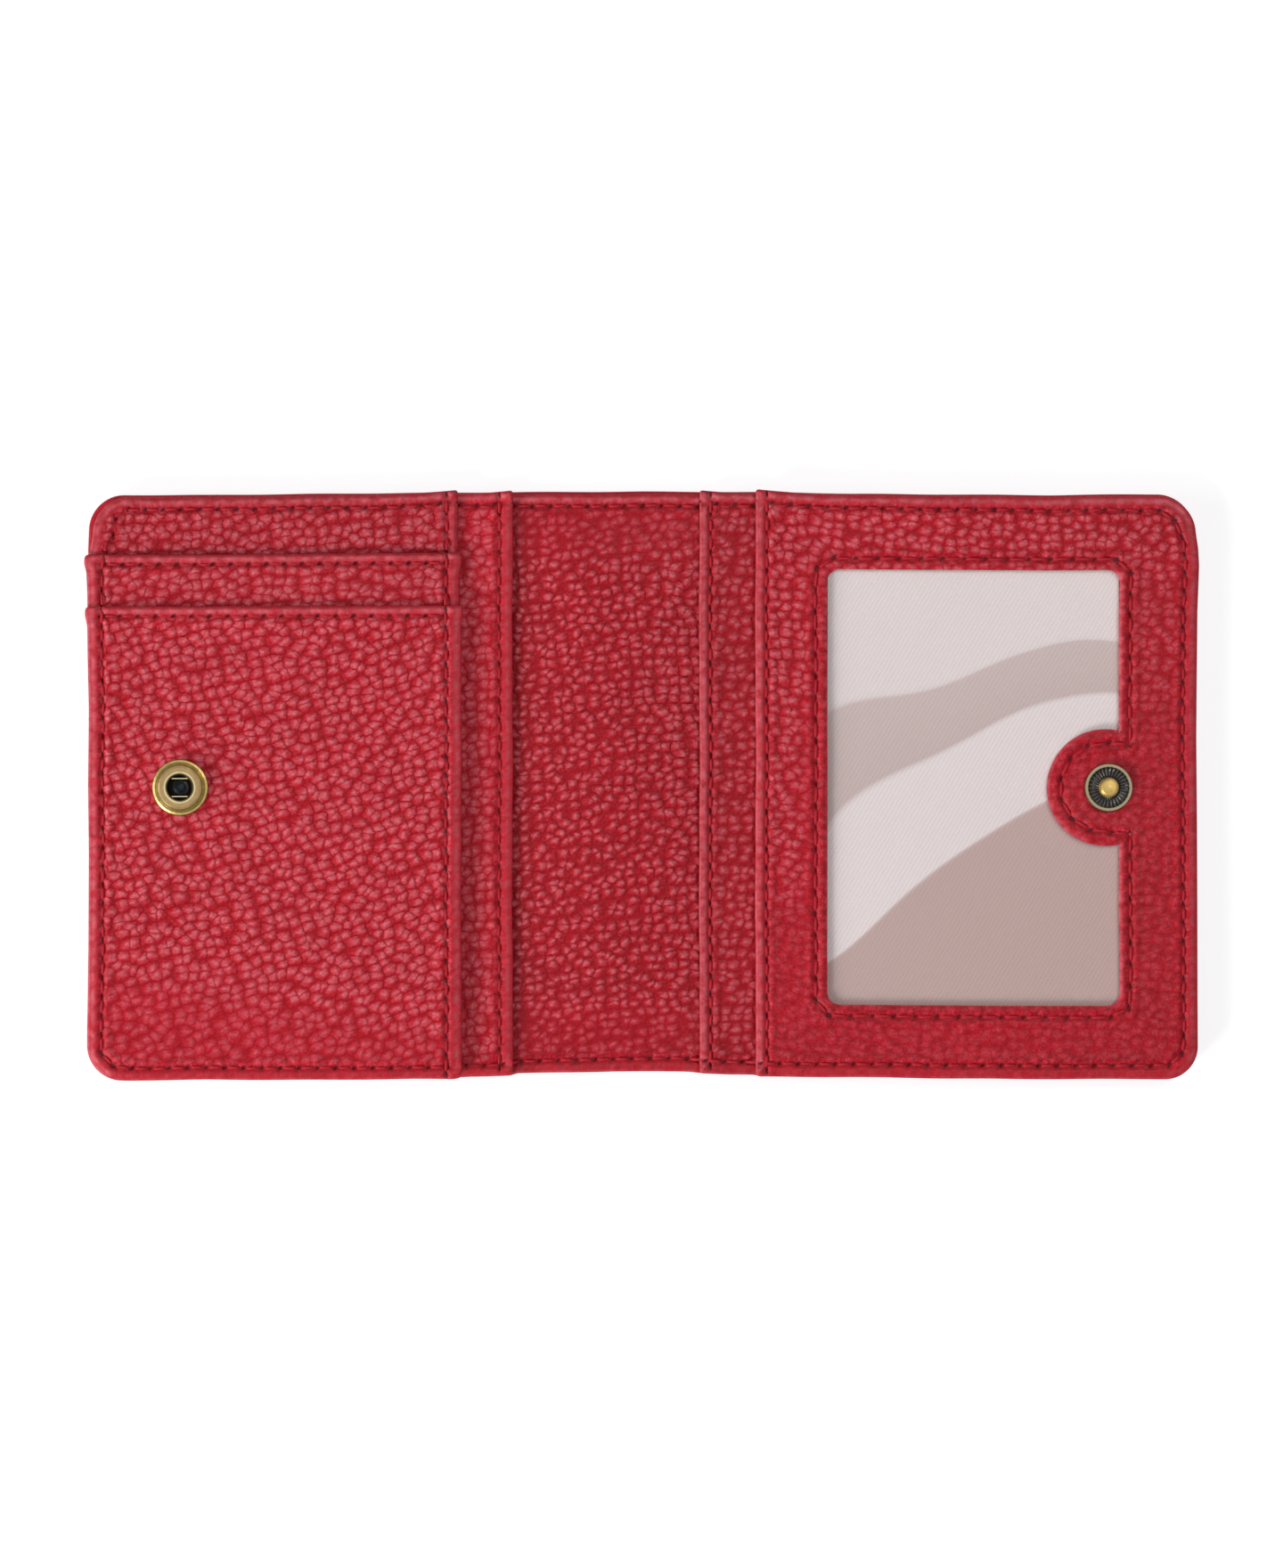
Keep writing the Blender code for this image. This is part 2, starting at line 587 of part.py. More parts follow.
def straight(start, end):
    """Closely spaced points from one place to another."""
    start = Vector(start)
    end = Vector(end)
    steps = max(1, round((end - start).length / ROUTE_STEP))
    return [start.lerp(end, i / steps) for i in range(steps + 1)]


def bend(centre_x, centre_y, radius, start, end):
    """Closely spaced points round an arc."""
    steps = max(1, round(radius * math.radians(abs(end - start)) / ROUTE_STEP))
    return [Vector(place) for place in arc(centre_x, centre_y, radius, start, end, steps)]


def joined(*runs):
    """Runs of a route end to end, each shared point kept once."""
    route = list(runs[0])
    for run in runs[1:]:
        route += run[1:]
    return route


def thread_stations(route, closed):
    """Where a thread's sections stand: place on the route, leather height, share of full size."""
    heights = [leather_height(point) for point in route]
    last = len(route) if closed else len(route) - 1
    halves = 2 * max(1, round(last * ROUTE_STEP / STITCH_PITCH))
    ramp = round(THREAD_RAMP / ROUTE_STEP)
    level_changes = [i for i in range(1, len(route)) if heights[i] != heights[i - 1]]
    stations = []
    for k in range(halves if closed else halves + 1):
        i = round(k * last / halves)
        if all(abs(i - change) > 2 * ramp for change in level_changes):
            stations.append((i, heights[i], 1.0 if k % 2 else THREAD_PINCH_SHARE))
    for i in level_changes:
        before = heights[i - 1]
        after = heights[i]
        start, end = (i, i + ramp) if before > after else (i - 1 - ramp, i - 1)
        stations += [(start, before, 1.0), (end, after, 1.0)]
    return sorted(stations)


def add_seam(name, route, hinge, closed=False):
    """One thread along a route on the leather, narrow where it dives into each needle hole."""
    bm = bmesh.new()
    rings = []
    for i, height, share in thread_stations(route, closed):
        ahead = route[(i + 1) % len(route)] if closed else route[min(i + 1, len(route) - 1)]
        behind = route[i - 1] if closed else route[max(i - 1, 0)]
        along = (ahead - behind).normalized()
        across = Vector((-along.y, along.x)) * THREAD_WIDTH * share / 2
        base = height + THREAD_GAP
        section = ((route[i] + across, base), (route[i] - across, base),
                   (route[i], base + THREAD_HEIGHT * share))
        rings.append([bm.verts.new((*place, z)) for place, z in section])
    pairs = list(zip(rings, rings[1:]))
    if closed:
        pairs.append((rings[-1], rings[0]))
    else:
        bm.faces.new(rings[0])
        bm.faces.new(rings[-1])
    for ring, following in pairs:
        for i in range(len(ring)):
            j = (i + 1) % len(ring)
            bm.faces.new((ring[i], ring[j], following[j], following[i]))
    add_piece(name, bm, THREAD, hinge)


def add_edge_seams():
    """The seam that runs round the open wallet, in four lengths that end beside the folds."""
    top = inner_top - TOP_SEAM_INSET
    low = bottom_edge + BOTTOM_SEAM_INSET
    middle_low = middle_bottom + CENTRE_SEAM_INSET
    corner = CORNER_RADIUS - SIDE_SEAM_INSET
    for name, side, outer, pocket_x, slip_x, fold_x, hinge in (
            ("left_edge_seam", -1, left_edge, card_edge, left_slip_edge, left_fold_x, left_fold),
            ("right_edge_seam", 1, right_edge, frame_edge, right_slip_edge, right_fold_x,
             right_fold)):
        line = outer - side * SIDE_SEAM_INSET
        turn_x = line - side * corner
        end_x = fold_x + side * SEAM_END_GAP
        outward = 90 - side * 90
        route = joined(straight((end_x, top), (turn_x, top)),
                       bend(turn_x, top - corner, corner, 90, outward),
                       straight((line, top - corner), (line, low + corner)),
                       bend(turn_x, low + corner, corner, -outward, -90),
                       straight((turn_x, low), (pocket_x, low)),
                       straight((pocket_x, low), (slip_x, middle_low)),
                       straight((slip_x, middle_low), (end_x, middle_low)))
        add_seam(name, route, hinge)
    start_x = left_fold_x + SEAM_END_GAP
    end_x = right_fold_x - SEAM_END_GAP
    add_seam("spine_top_seam", straight((start_x, top), (end_x, top)), None)
    add_seam("spine_bottom_seam", straight((start_x, middle_low), (end_x, middle_low)), None)


def add_pocket_seams():
    """Upright seams beside the four turned edges, and level ones below the two slot mouths."""
    clear = 2 * THREAD_WIDTH
    high = inner_top - TOP_SEAM_INSET - clear
    low = middle_bottom + BOTTOM_SEAM_INSET + clear
    card_seam_x = card_panel_edge - FREE_EDGE_SEAM_INSET
    for name, x, hinge in (
            ("left_slip_seam", left_slip_edge - FREE_EDGE_SEAM_INSET, left_fold),
            ("card_edge_seam", card_seam_x, left_fold),
            ("right_slip_seam", right_slip_edge + FREE_EDGE_SEAM_INSET, right_fold),
            ("frame_edge_seam", frame_edge + FREE_EDGE_SEAM_INSET, right_fold)):
        add_seam(name, straight((x, high), (x, low)), hinge)
    start_x = left_edge + SIDE_SEAM_INSET + clear
    for name, mouth in (("upper_slot_seam", upper_mouth), ("lower_slot_seam", lower_mouth)):
        y = mouth - MOUTH_SEAM_INSET
        add_seam(name, straight((start_x, y), (card_seam_x - clear, y)), left_fold)


def add_window_seam():
    """The seam round the window, which turns in to follow the tab."""
    left = window_left - WINDOW_SEAM_OFFSET
    right = window_right + WINDOW_SEAM_OFFSET
    low = window_bottom - WINDOW_SEAM_OFFSET
    high = window_top + WINDOW_SEAM_OFFSET
    corner = WINDOW_CORNER_RADIUS + WINDOW_SEAM_OFFSET
    tab = TAB_RADIUS - TAB_SEAM_INSET
    half = tab_angle(right, tab)
    reach = tab * math.sin(math.radians(half))
    route = joined(straight((right, snap_y + reach), (right, high - corner)),
                   bend(right - corner, high - corner, corner, 0, 90),
                   straight((right - corner, high), (left + corner, high)),
                   bend(left + corner, high - corner, corner, 90, 180),
                   straight((left, high - corner), (left, low + corner)),
                   bend(left + corner, low + corner, corner, 180, 270),
                   straight((left + corner, low), (right - corner, low)),
                   bend(right - corner, low + corner, corner, 270, 360),
                   straight((right, low + corner), (right, snap_y - reach)),
                   bend(tab_x, snap_y, tab, 360 - half, half))
    add_seam("window_seam", route[:-1], right_fold, closed=True)


for old in list(bpy.data.objects):
    bpy.data.objects.remove(old, do_unlink=True)

left_fold = add_hinge("left_fold", left_fold_x)
right_fold = add_hinge("right_fold", right_fold_x)
add_shell()
add_slip_panels()
add_card_slots()
add_window()
add_socket()
add_socket_eyelet()
add_stud()
add_edge_seams()
add_pocket_seams()
add_window_seam()
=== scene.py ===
"""The looks of a red book-fold wallet, lying open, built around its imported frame.

Places and sizes are in millimetres here, and MM turns them to metres when a mesh is made.
X runs across the open wallet, Y up the leaves and Z up from the table.
"""

import json
import math

import bmesh
import bpy
import numpy as np
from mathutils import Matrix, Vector


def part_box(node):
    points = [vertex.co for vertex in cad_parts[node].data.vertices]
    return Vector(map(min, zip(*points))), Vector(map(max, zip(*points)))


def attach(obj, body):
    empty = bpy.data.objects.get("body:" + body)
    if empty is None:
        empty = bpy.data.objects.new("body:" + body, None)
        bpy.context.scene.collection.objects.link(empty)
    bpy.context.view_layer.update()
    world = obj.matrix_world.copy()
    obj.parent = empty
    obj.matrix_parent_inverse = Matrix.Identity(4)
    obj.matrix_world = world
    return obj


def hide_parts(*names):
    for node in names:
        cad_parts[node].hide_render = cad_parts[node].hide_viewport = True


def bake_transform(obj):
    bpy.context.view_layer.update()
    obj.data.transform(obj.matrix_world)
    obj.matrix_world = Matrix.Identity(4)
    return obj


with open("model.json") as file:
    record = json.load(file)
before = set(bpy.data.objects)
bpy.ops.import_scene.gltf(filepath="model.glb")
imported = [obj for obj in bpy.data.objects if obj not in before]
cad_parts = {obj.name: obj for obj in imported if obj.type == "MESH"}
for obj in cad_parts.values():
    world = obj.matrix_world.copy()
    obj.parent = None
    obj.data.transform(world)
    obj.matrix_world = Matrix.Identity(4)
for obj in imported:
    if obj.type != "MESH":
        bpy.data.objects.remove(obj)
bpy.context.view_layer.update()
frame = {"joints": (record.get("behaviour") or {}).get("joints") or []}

MM = 0.001
COARSE = 1.0


def span(name, axis):
    """Where one of the frame's solids starts and ends along an axis."""
    return [round(corner["XYZ".index(axis)] / MM, 3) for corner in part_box(name)]


# The folds' lines, and how far the leather bends on both sides of them.
folds = {joint["name"]: [round(place / MM, 3) for place in joint["pos_m"]] for joint in frame["joints"]}
LEFT_FOLD, _, FOLD_Z = folds["left_fold"]
RIGHT_FOLD = folds["right_fold"][0]
MIDDLE = round((LEFT_FOLD + RIGHT_FOLD) / 2, 3)

# The shell's edges, the panels' edges beside the folds, the slots' mouths and each sheet's top face.
SIDE = span("right_cover", "X")[1]
BOTTOM, TOP = span("right_cover", "Y")
PANEL_TOP = span("right_lining", "Y")[1]
LEFT_SLIP_EDGE, CARD_EDGE, STRIP_EDGE, POCKET_EDGE = (
    span(name, "X")[1] for name in ("left_slip_panel", "card_panel", "card_strip", "card_pocket")
)
RIGHT_SLIP_EDGE, FRAME_EDGE = (span(name, "X")[0] for name in ("right_slip_panel", "window_frame"))
STRIP_FOOT, UPPER_MOUTH = span("card_strip", "Y")
LOWER_MOUTH = span("card_pocket", "Y")[1]
LAYERS = "right_cover right_lining right_slip_panel card_panel card_strip card_pocket window_frame"
COVER_Z, LINING_Z, SLIP_Z, CARD_Z, STRIP_Z, POCKET_Z, FRAME_Z = (
    span(name, "Z")[1] for name in LAYERS.split()
)
SOCKET, STUD = (
    [round(sum(span(name, axis)) / 2, 2) for axis in "XY"] for name in ("snap_socket", "snap_stud")
)

# The window's sides and corner radius, the tab's centre and radius, and the distance between two holes.
WINDOW = (31.985, 82.3, -38.1, 37.3)
WINDOW_CORNER = 2.25
TAB = (80.0, -0.55, 10.1)
PITCH = 3.2

# Small helpers.


def linear(code):
    """A hex sRGB colour as linear red, green, blue and alpha."""
    shares = [int(code[k : k + 2], 16) / 255 for k in (1, 3, 5)]
    return tuple(s / 12.92 if s <= 0.04045 else ((s + 0.055) / 1.055) ** 2.4 for s in shares) + (1.0,)


def deselect():
    if bpy.context.object and bpy.context.object.mode != "OBJECT":
        bpy.ops.object.mode_set(mode="OBJECT")
    bpy.ops.object.select_all(action="DESELECT")


def pick(piece):
    deselect()
    piece.select_set(True)
    bpy.context.view_layer.objects.active = piece


def named(piece, name):
    piece.name = name
    piece.data.name = name
    return piece


def places(piece):
    """The piece's vertices, in millimetres."""
    found = np.empty(len(piece.data.vertices) * 3)
    piece.data.vertices.foreach_get("co", found)
    return found.reshape(-1, 3) / MM


def put(piece, found):
    piece.data.vertices.foreach_set("co", (found * MM).ravel())
    piece.data.update()


def give(piece, name, values, kind="FLOAT"):
    """Stores values on the piece's vertices, for its material to read."""
    held = piece.data.attributes.get(name) or piece.data.attributes.new(name, kind, "POINT")
    field = "vector" if kind == "FLOAT_VECTOR" else "value"
    held.data.foreach_set(field, np.ravel(values).astype(np.float32))


def smooth(piece, degrees=50):
    pick(piece)
    bpy.ops.object.shade_smooth_by_angle(angle=math.radians(degrees))


def step(low, high, values):
    """A soft step from 0 at low to 1 at high."""
    share = np.clip((values - low) / (high - low), 0, 1)
    return share * share * (3 - 2 * share)


def swell(values, width):
    """1 where the values are 0, fading away within about the width."""
    return np.exp(-((values / width) ** 2))


def at_each(value, x, y):
    """A number, or what a function gives, at each place."""
    return value(x, y) if callable(value) else np.full(len(x), value)


def add(tree, kind, inputs=(), stops=(), **settings):
    """Adds a node with its settings, colour stops and inputs; a bare kind is a shader node's.

    The inputs are listed in their order, or by name or number. Each is a value, a hex colour, a socket, or
    a node, whose first output in use is linked. A MapRange's four numbers are the range that it reads and
    the range that it gives, and a Mix of colours has its two colours at 6 and 7.
    """
    made = tree.nodes.new(kind if "Node" in kind else f"ShaderNode{kind}")
    for name, value in settings.items():
        setattr(made, name, value)
    for number, (place, code) in enumerate(stops):
        band = made.color_ramp.elements
        stop = band[number] if number < 2 else band.new(place)
        stop.position, stop.color = place, linear(code)
    for name, value in inputs.items() if isinstance(inputs, dict) else enumerate(inputs):
        if isinstance(value, bpy.types.Node):
            value = next(output for output in value.outputs if output.enabled)
        if isinstance(value, bpy.types.NodeSocket):
            tree.links.new(value, made.inputs[name])
        else:
            made.inputs[name].default_value = linear(value) if str(value).startswith("#") else value
    return made


# How the wallet has settled: soft waves in the sheets, and edges that aren't ruled.


def sway(x, y):
    """Height of the soft waves at a place."""
    return (
        0.10 * np.sin(x / 17.0 + 0.6) * np.cos(y / 23.0 - 0.4)
        + 0.07 * np.sin(y / 11.0 + x / 29.0 + 1.9)
        + 0.04 * np.sin(x / 7.3 - y / 9.1)
    )


# How far each edge stands from a ruled line: places along the edge, and shifts there.
TOP_SHIFT = (
    [-96, -75, -54, -40, -20, 0, 25, 36, 57, 71, 85, 96],
    [-0.52, -0.48, -0.25, -0.12, 0.03, 0.12, 0.0, -0.26, -0.42, -0.52, -0.35, -0.35],
)
BOTTOM_SHIFT = (
    [-96, -88, -75, -54, -40, -32.5, -31, -26, -22.7, -21.5, -12]
    + [-5, 8, 10.5, 15, 19.3, 20.5, 36, 50, 64, 90, 96],
    [-0.5, -0.5, -0.35, -0.38, -0.22, -0.26, 0.05, 0.15, 0.25, 0.6, 0.77]
    + [0.93, 0.9, 0.65, 0.45, 0.35, 0.1, 0.04, -0.16, -0.29, -0.3, -0.3],
)
LEFT_SHIFT = (
    [-50, -42, -37, -28, -12, 0, 13, 22, 33, 41, 44, 50],
    [-0.1, -0.1, 0, 0.13, 0.2, 0.07, 0.2, 0, -0.1, -0.3, -0.18, 0],
)
RIGHT_SHIFT = (
    [-50, -37, -20, -6, 8, 16, 30, 38, 41, 44, 50],
    [0.4, 0.33, 0.29, 0.23, 0.11, 0.17, 0.3, 0.6, 0.44, 0.0, -0.3],
)


def settle(found):
    """Moves places to where the used wallet has them."""
    x, y, z = found.T.copy()
    out = found.copy()
    out[:, 1] += np.interp(x, *BOTTOM_SHIFT) * step(-25, -49, y)
    out[:, 1] += np.interp(x, *TOP_SHIFT) * step(20, 49, y)
    out[:, 1] += 0.04 * np.sin(x / 3.1 + 1) * step(40, 50, abs(y))
    out[:, 0] += np.interp(y, *LEFT_SHIFT) * step(-70, -94, x) + np.interp(y, *RIGHT_SHIFT) * step(70, 94, x)
    ripple = 0.06 * np.sin(y / 7.0 + 1) + 0.03 * np.sin(y / 2.7)
    out[:, 0] += ripple * step(95, 80, abs(x)) * step(4, 9, abs(x))
    out[:, 2] += sway(x, y) * np.clip(z / 3, 0, 1)
    return out


# Grid lines and slabs of leather with turned edges.


def spaced(*stops):
    """Grid lines through stops of (place, step to the next place)."""
    lines = []
    for (start, gap), (end, _) in zip(stops, stops[1:]):
        count = max(1, round((end - start) / (gap * COARSE)))
        lines += [start + (end - start) * k / count for k in range(count)]
    return lines + [stops[-1][0]]


ROLL_SHARES = [1 - math.cos(math.radians(15 * k)) for k in range(7)]


def with_rolls(lines, roll):
    """Crowds the lines at both ends, where the edge is turned."""
    low = [lines[0] + roll * share for share in ROLL_SHARES]
    high = [lines[-1] - roll * share for share in reversed(ROLL_SHARES)]
    return low + [v for v in lines if low[-1] + 0.12 < v < high[0] - 0.12] + high


def nearest_corner(x, y, outline):
    """Distances from the nearest upright and level edges, their corner's radius, and where it is."""
    x0, x1, y0, y1, radii = outline
    right, upper = x - x0 > x1 - x, y - y0 > y1 - y
    across, along = np.where(right, x1 - x, x - x0), np.where(upper, y1 - y, y - y0)
    radius = np.array(radii)[np.where(upper, np.where(right, 2, 3), np.where(right, 1, 0))]
    return across, along, radius, right, upper


def from_edge(x, y, outline):
    """Distance from a rounded rectangle's edge, with the direction inwards."""
    across, along, radius, right, upper = nearest_corner(x, y, outline)
    reach_x, reach_y = np.maximum(radius - across, 0), np.maximum(radius - along, 0)
    corner = (reach_x > 0) & (reach_y > 0)
    reach = np.hypot(reach_x, reach_y)
    distance = np.where(corner, radius - reach, np.minimum(across, along))
    safe = np.where(corner, reach, 1)
    inward_x = np.where(corner, reach_x / safe, across < along) * np.where(right, -1, 1)
    inward_y = np.where(corner, reach_y / safe, across >= along) * np.where(upper, -1, 1)
    return distance, inward_x, inward_y


def slab(name, columns, rows, radii, face, rings, roll):
    """A closed sheet with its outline.

    A grid's edge is rolled over by (width, drop), then comes down in rings of (inset, height) to the back.
    The radii are the corners', from the lower left one round to the upper left.
    """
    roll, sink = roll
    columns, rows = with_rolls(columns, roll), with_rolls(rows, roll)
    outline = (columns[0], columns[-1], rows[0], rows[-1], radii)
    side = 1 if face > rings[-1][1] else -1
    deselect()
    bpy.ops.mesh.primitive_grid_add(
        x_subdivisions=len(columns) - 1, y_subdivisions=len(rows) - 1, size=2, location=(0, 0, 0)
    )
    piece = named(bpy.context.object, name)
    found = places(piece) * MM
    column = np.rint((found[:, 0] + 1) / 2 * (len(columns) - 1)).astype(int)
    row = np.rint((found[:, 1] + 1) / 2 * (len(rows) - 1)).astype(int)
    for label, index in (("column", column), ("row", row)):
        piece.data.attributes.new(label, "INT", "POINT").data.foreach_set("value", index)
    x, y = np.array(columns)[column], np.array(rows)[row]
    across, along, radius, right, upper = nearest_corner(x, y, outline)
    corner = (across < radius) & (along < radius)
    u, v = 1 - across / radius, 1 - along / radius
    across = np.where(corner, radius * (1 - u * np.sqrt(1 - v * v / 2 * corner)), across)
    along = np.where(corner, radius * (1 - v * np.sqrt(1 - u * u / 2 * corner)), along)
    x = np.where(right, columns[-1] - across, columns[0] + across)
    y = np.where(upper, rows[-1] - along, rows[0] + along)
    distance = np.clip(from_edge(x, y, outline)[0], 0, roll)
    drop = sink * (1 - np.sqrt(np.maximum(1 - (1 - distance / roll) ** 2, 0)))
    put(piece, np.column_stack([x, y, face - side * drop]))
    bpy.ops.object.mode_set(mode="EDIT")
    bpy.ops.mesh.select_all(action="DESELECT")
    bpy.ops.mesh.select_mode(type="EDGE")
    bpy.ops.mesh.select_non_manifold()
    for inset, height in rings:
        bpy.ops.mesh.extrude_edges_move()
        shape = bmesh.from_edit_mesh(piece.data)
        chosen = [vertex for vertex in shape.verts if vertex.select]
        spots = np.array([vertex.co[:2] for vertex in chosen]) / MM
        distance, inward_x, inward_y = from_edge(spots[:, 0], spots[:, 1], outline)
        for vertex, (px, py), gap, nx, ny in zip(chosen, spots, distance, inward_x, inward_y):
            vertex.co = ((px + nx * (inset - gap)) * MM, (py + ny * (inset - gap)) * MM, height * MM)
        bmesh.update_edit_mesh(piece.data)
    shape = bmesh.from_edit_mesh(piece.data)
    labels = shape.verts.layers.int["column"], shape.verts.layers.int["row"]
    last = {(v[labels[0]], v[labels[1]]): v for v in shape.verts if v.select}
    far, high = len(columns) - 1, len(rows) - 1
    for k in range(1, far - 1):
        shape.faces.new([last[k, 0], last[k + 1, 0], last[k + 1, high], last[k, high]])
    shape.faces.new([last[1, 0], last[1, high]] + [last[0, k] for k in range(high, -1, -1)])
    shape.faces.new([last[far - 1, high], last[far - 1, 0]] + [last[far, k] for k in range(high + 1)])
    bmesh.update_edit_mesh(piece.data)
    bpy.ops.mesh.select_all(action="SELECT")
    bpy.ops.mesh.normals_make_consistent(inside=False)
    bpy.ops.object.mode_set(mode="OBJECT")
    for label in ("column", "row"):
        piece.data.attributes.remove(piece.data.attributes[label])
    return piece, outline


# Seams: each is a row of holes, and a stitch runs from hole to hole.


def arc(centre, radius, start, end, count=12):
    turns = [math.radians(start + (end - start) * k / count) for k in range(count + 1)]
    return [(centre[0] + radius * math.cos(t), centre[1] + radius * math.sin(t)) for t in turns]


def sewn(points, pitch=PITCH, closed=False):
    """Holes at one pitch along a path."""
    path = np.array(points + points[:1] if closed else points, float)
    lengths = np.concatenate([[0], np.cumsum(np.hypot(*np.diff(path, axis=0).T))])
    count = max(1, round(lengths[-1] / pitch))
    marks = np.linspace(0, lengths[-1], count + 1)
    return np.column_stack([np.interp(marks, lengths, path[:, k]) for k in (0, 1)])


EDGE_PATH = (
    [(-93.2, -46), (-93.2, 36), (-92.6, 40.6), (-91.9, 43.9), (-91.4, 47.3), (-90.6, 48.0)]
    + [(0.0, 48.15), (89.8, 47.7), (92.4, 45.9), (93.3, 42.7), (93.3, -45.6), (92.4, -47.6), (90.2, -48.3)]
    + [(0.0, -48.4), (-30.0, -48.7), (-90.4, -48.5), (-92.5, -47.6)]
)
tab_x, tab_y, tab_radius = TAB
x_low, x_high, y_low, y_high = WINDOW
SEAM_OUT, SEAM_CORNER, TAB_IN = 1.95, 2.8, 2.3
tab_seam = tab_radius - TAB_IN
# Where the seam turns into the tab, as a share of the tab's own seam's radius.
TAB_TURN_SHARE = 0.96
tab_drop = math.degrees(math.asin(TAB_TURN_SHARE))


def round_corners(x_ends, y_ends, radius, count):
    """Four rounded corners, from the upper right one round to the lower right."""
    (left, right), (low, high) = x_ends, y_ends
    centres = (right, high), (left, high), (left, low), (right, low)
    turns = [arc(centre, radius, 90 * k, 90 * k + 90, count) for k, centre in enumerate(centres)]
    return [point for turn in turns for point in turn]


WINDOW_PATH = (
    [(x_high + SEAM_OUT, tab_y + tab_seam * TAB_TURN_SHARE)]
    + round_corners(
        (x_low - SEAM_OUT + SEAM_CORNER, x_high + SEAM_OUT - SEAM_CORNER),
        (y_low - SEAM_OUT + SEAM_CORNER, y_high + SEAM_OUT - SEAM_CORNER),
        SEAM_CORNER,
        4,
    )
    + [(x_high + SEAM_OUT, tab_y - tab_seam * TAB_TURN_SHARE)]
    + arc((tab_x, tab_y), tab_seam, 360 - tab_drop, tab_drop, 20)
)
SEAMS = {
    "edge_seam": sewn(EDGE_PATH, closed=True),
    "left_slip_seam": sewn([(-24.7, 49.6), (-24.7, -49.2)]),
    "card_edge_seam": sewn([(-33.8, 49.6), (-33.8, -49.8)]),
    "upper_slot_seam": sewn([(-92.6, 38.35), (-34.2, 38.35)], 3.07),
    "lower_slot_seam": sewn([(-93.2, 29.15), (-34.2, 29.15)], 3.07),
    "right_slip_seam": sewn([(11.85, 49.6), (11.85, -49.2)]),
    "frame_edge_seam": sewn([(21.55, 49.6), (21.55, -49.6)]),
    "window_seam": sewn(WINDOW_PATH, 3.76, closed=True),
}
LEVELS = [
    (-SIDE, SIDE, BOTTOM, PANEL_TOP, LINING_Z),
    (-SIDE, LEFT_SLIP_EDGE, BOTTOM, PANEL_TOP, SLIP_Z),
    (-SIDE, CARD_EDGE, BOTTOM, PANEL_TOP, CARD_Z),
    (-SIDE, STRIP_EDGE, STRIP_FOOT, UPPER_MOUTH, STRIP_Z),
    (-SIDE, POCKET_EDGE, BOTTOM, LOWER_MOUTH, POCKET_Z),
    (RIGHT_SLIP_EDGE, SIDE, BOTTOM, PANEL_TOP, SLIP_Z),
    (FRAME_EDGE, SIDE, BOTTOM, PANEL_TOP, FRAME_Z),
]


def surface(x, y):
    """Height of the uppermost sheet at a place."""
    return max(z for x0, x1, y0, y1, z in LEVELS if x0 <= x <= x1 and y0 - 1 <= y <= y1 + 1)


# A seam changes the leather within NEAR of its thread, and FAR stands for all that is farther off.
NEAR, FAR = 3.0, 9.0


def near_seams(x, y, holes):
    """Distance from the nearest stitch, its number and direction, and the depth of a needle's hole there."""
    gap, run, hole = np.full(len(x), FAR), np.zeros(len(x)), np.zeros(len(x))
    way = np.zeros((len(x), 2))
    for number, ((ax, ay), (bx, by)) in enumerate(zip(holes, holes[1:])):
        length = math.hypot(bx - ax, by - ay)
        tx, ty = (bx - ax) / length, (by - ay) / length
        across = (x > min(ax, bx) - NEAR) & (x < max(ax, bx) + NEAR)
        close = np.flatnonzero(across & (y > min(ay, by) - NEAR) & (y < max(ay, by) + NEAR))
        if len(close):
            along = (x[close] - ax) * tx + (y[close] - ay) * ty
            off = (x[close] - ax) * -ty + (y[close] - ay) * tx
            reach = np.hypot(along - np.clip(along, 0, length), off)
            nearer = reach < gap[close]
            run[close] = np.where(nearer, number + np.clip(along / length, 0, 1), run[close])
            way[close] = np.where(nearer[:, None], (tx, ty), way[close])
            gap[close] = np.minimum(gap[close], reach)
            for end in (number, number + 1):
                # A hole is longer than wide and slants, less so where the seam runs up the wallet.
                deep = 0.9 + 0.1 * math.sin(2.3 * end)
                wide, slant, far = (0.24, 0.1, 0.8) if abs(ty) > 0.7 else (0.36, 0.3, 0.6)
                past = along - length * (end - number)
                depth = np.exp(-((past / far) ** 2) - ((off - slant * past) / wide) ** 2)
                hole[close] = np.maximum(hole[close], deep * depth)
    return gap, run, way, hole


# Grained leather: pebbles, and how full they stand.

SOFT = {"interpolation_type": "SMOOTHSTEP"}


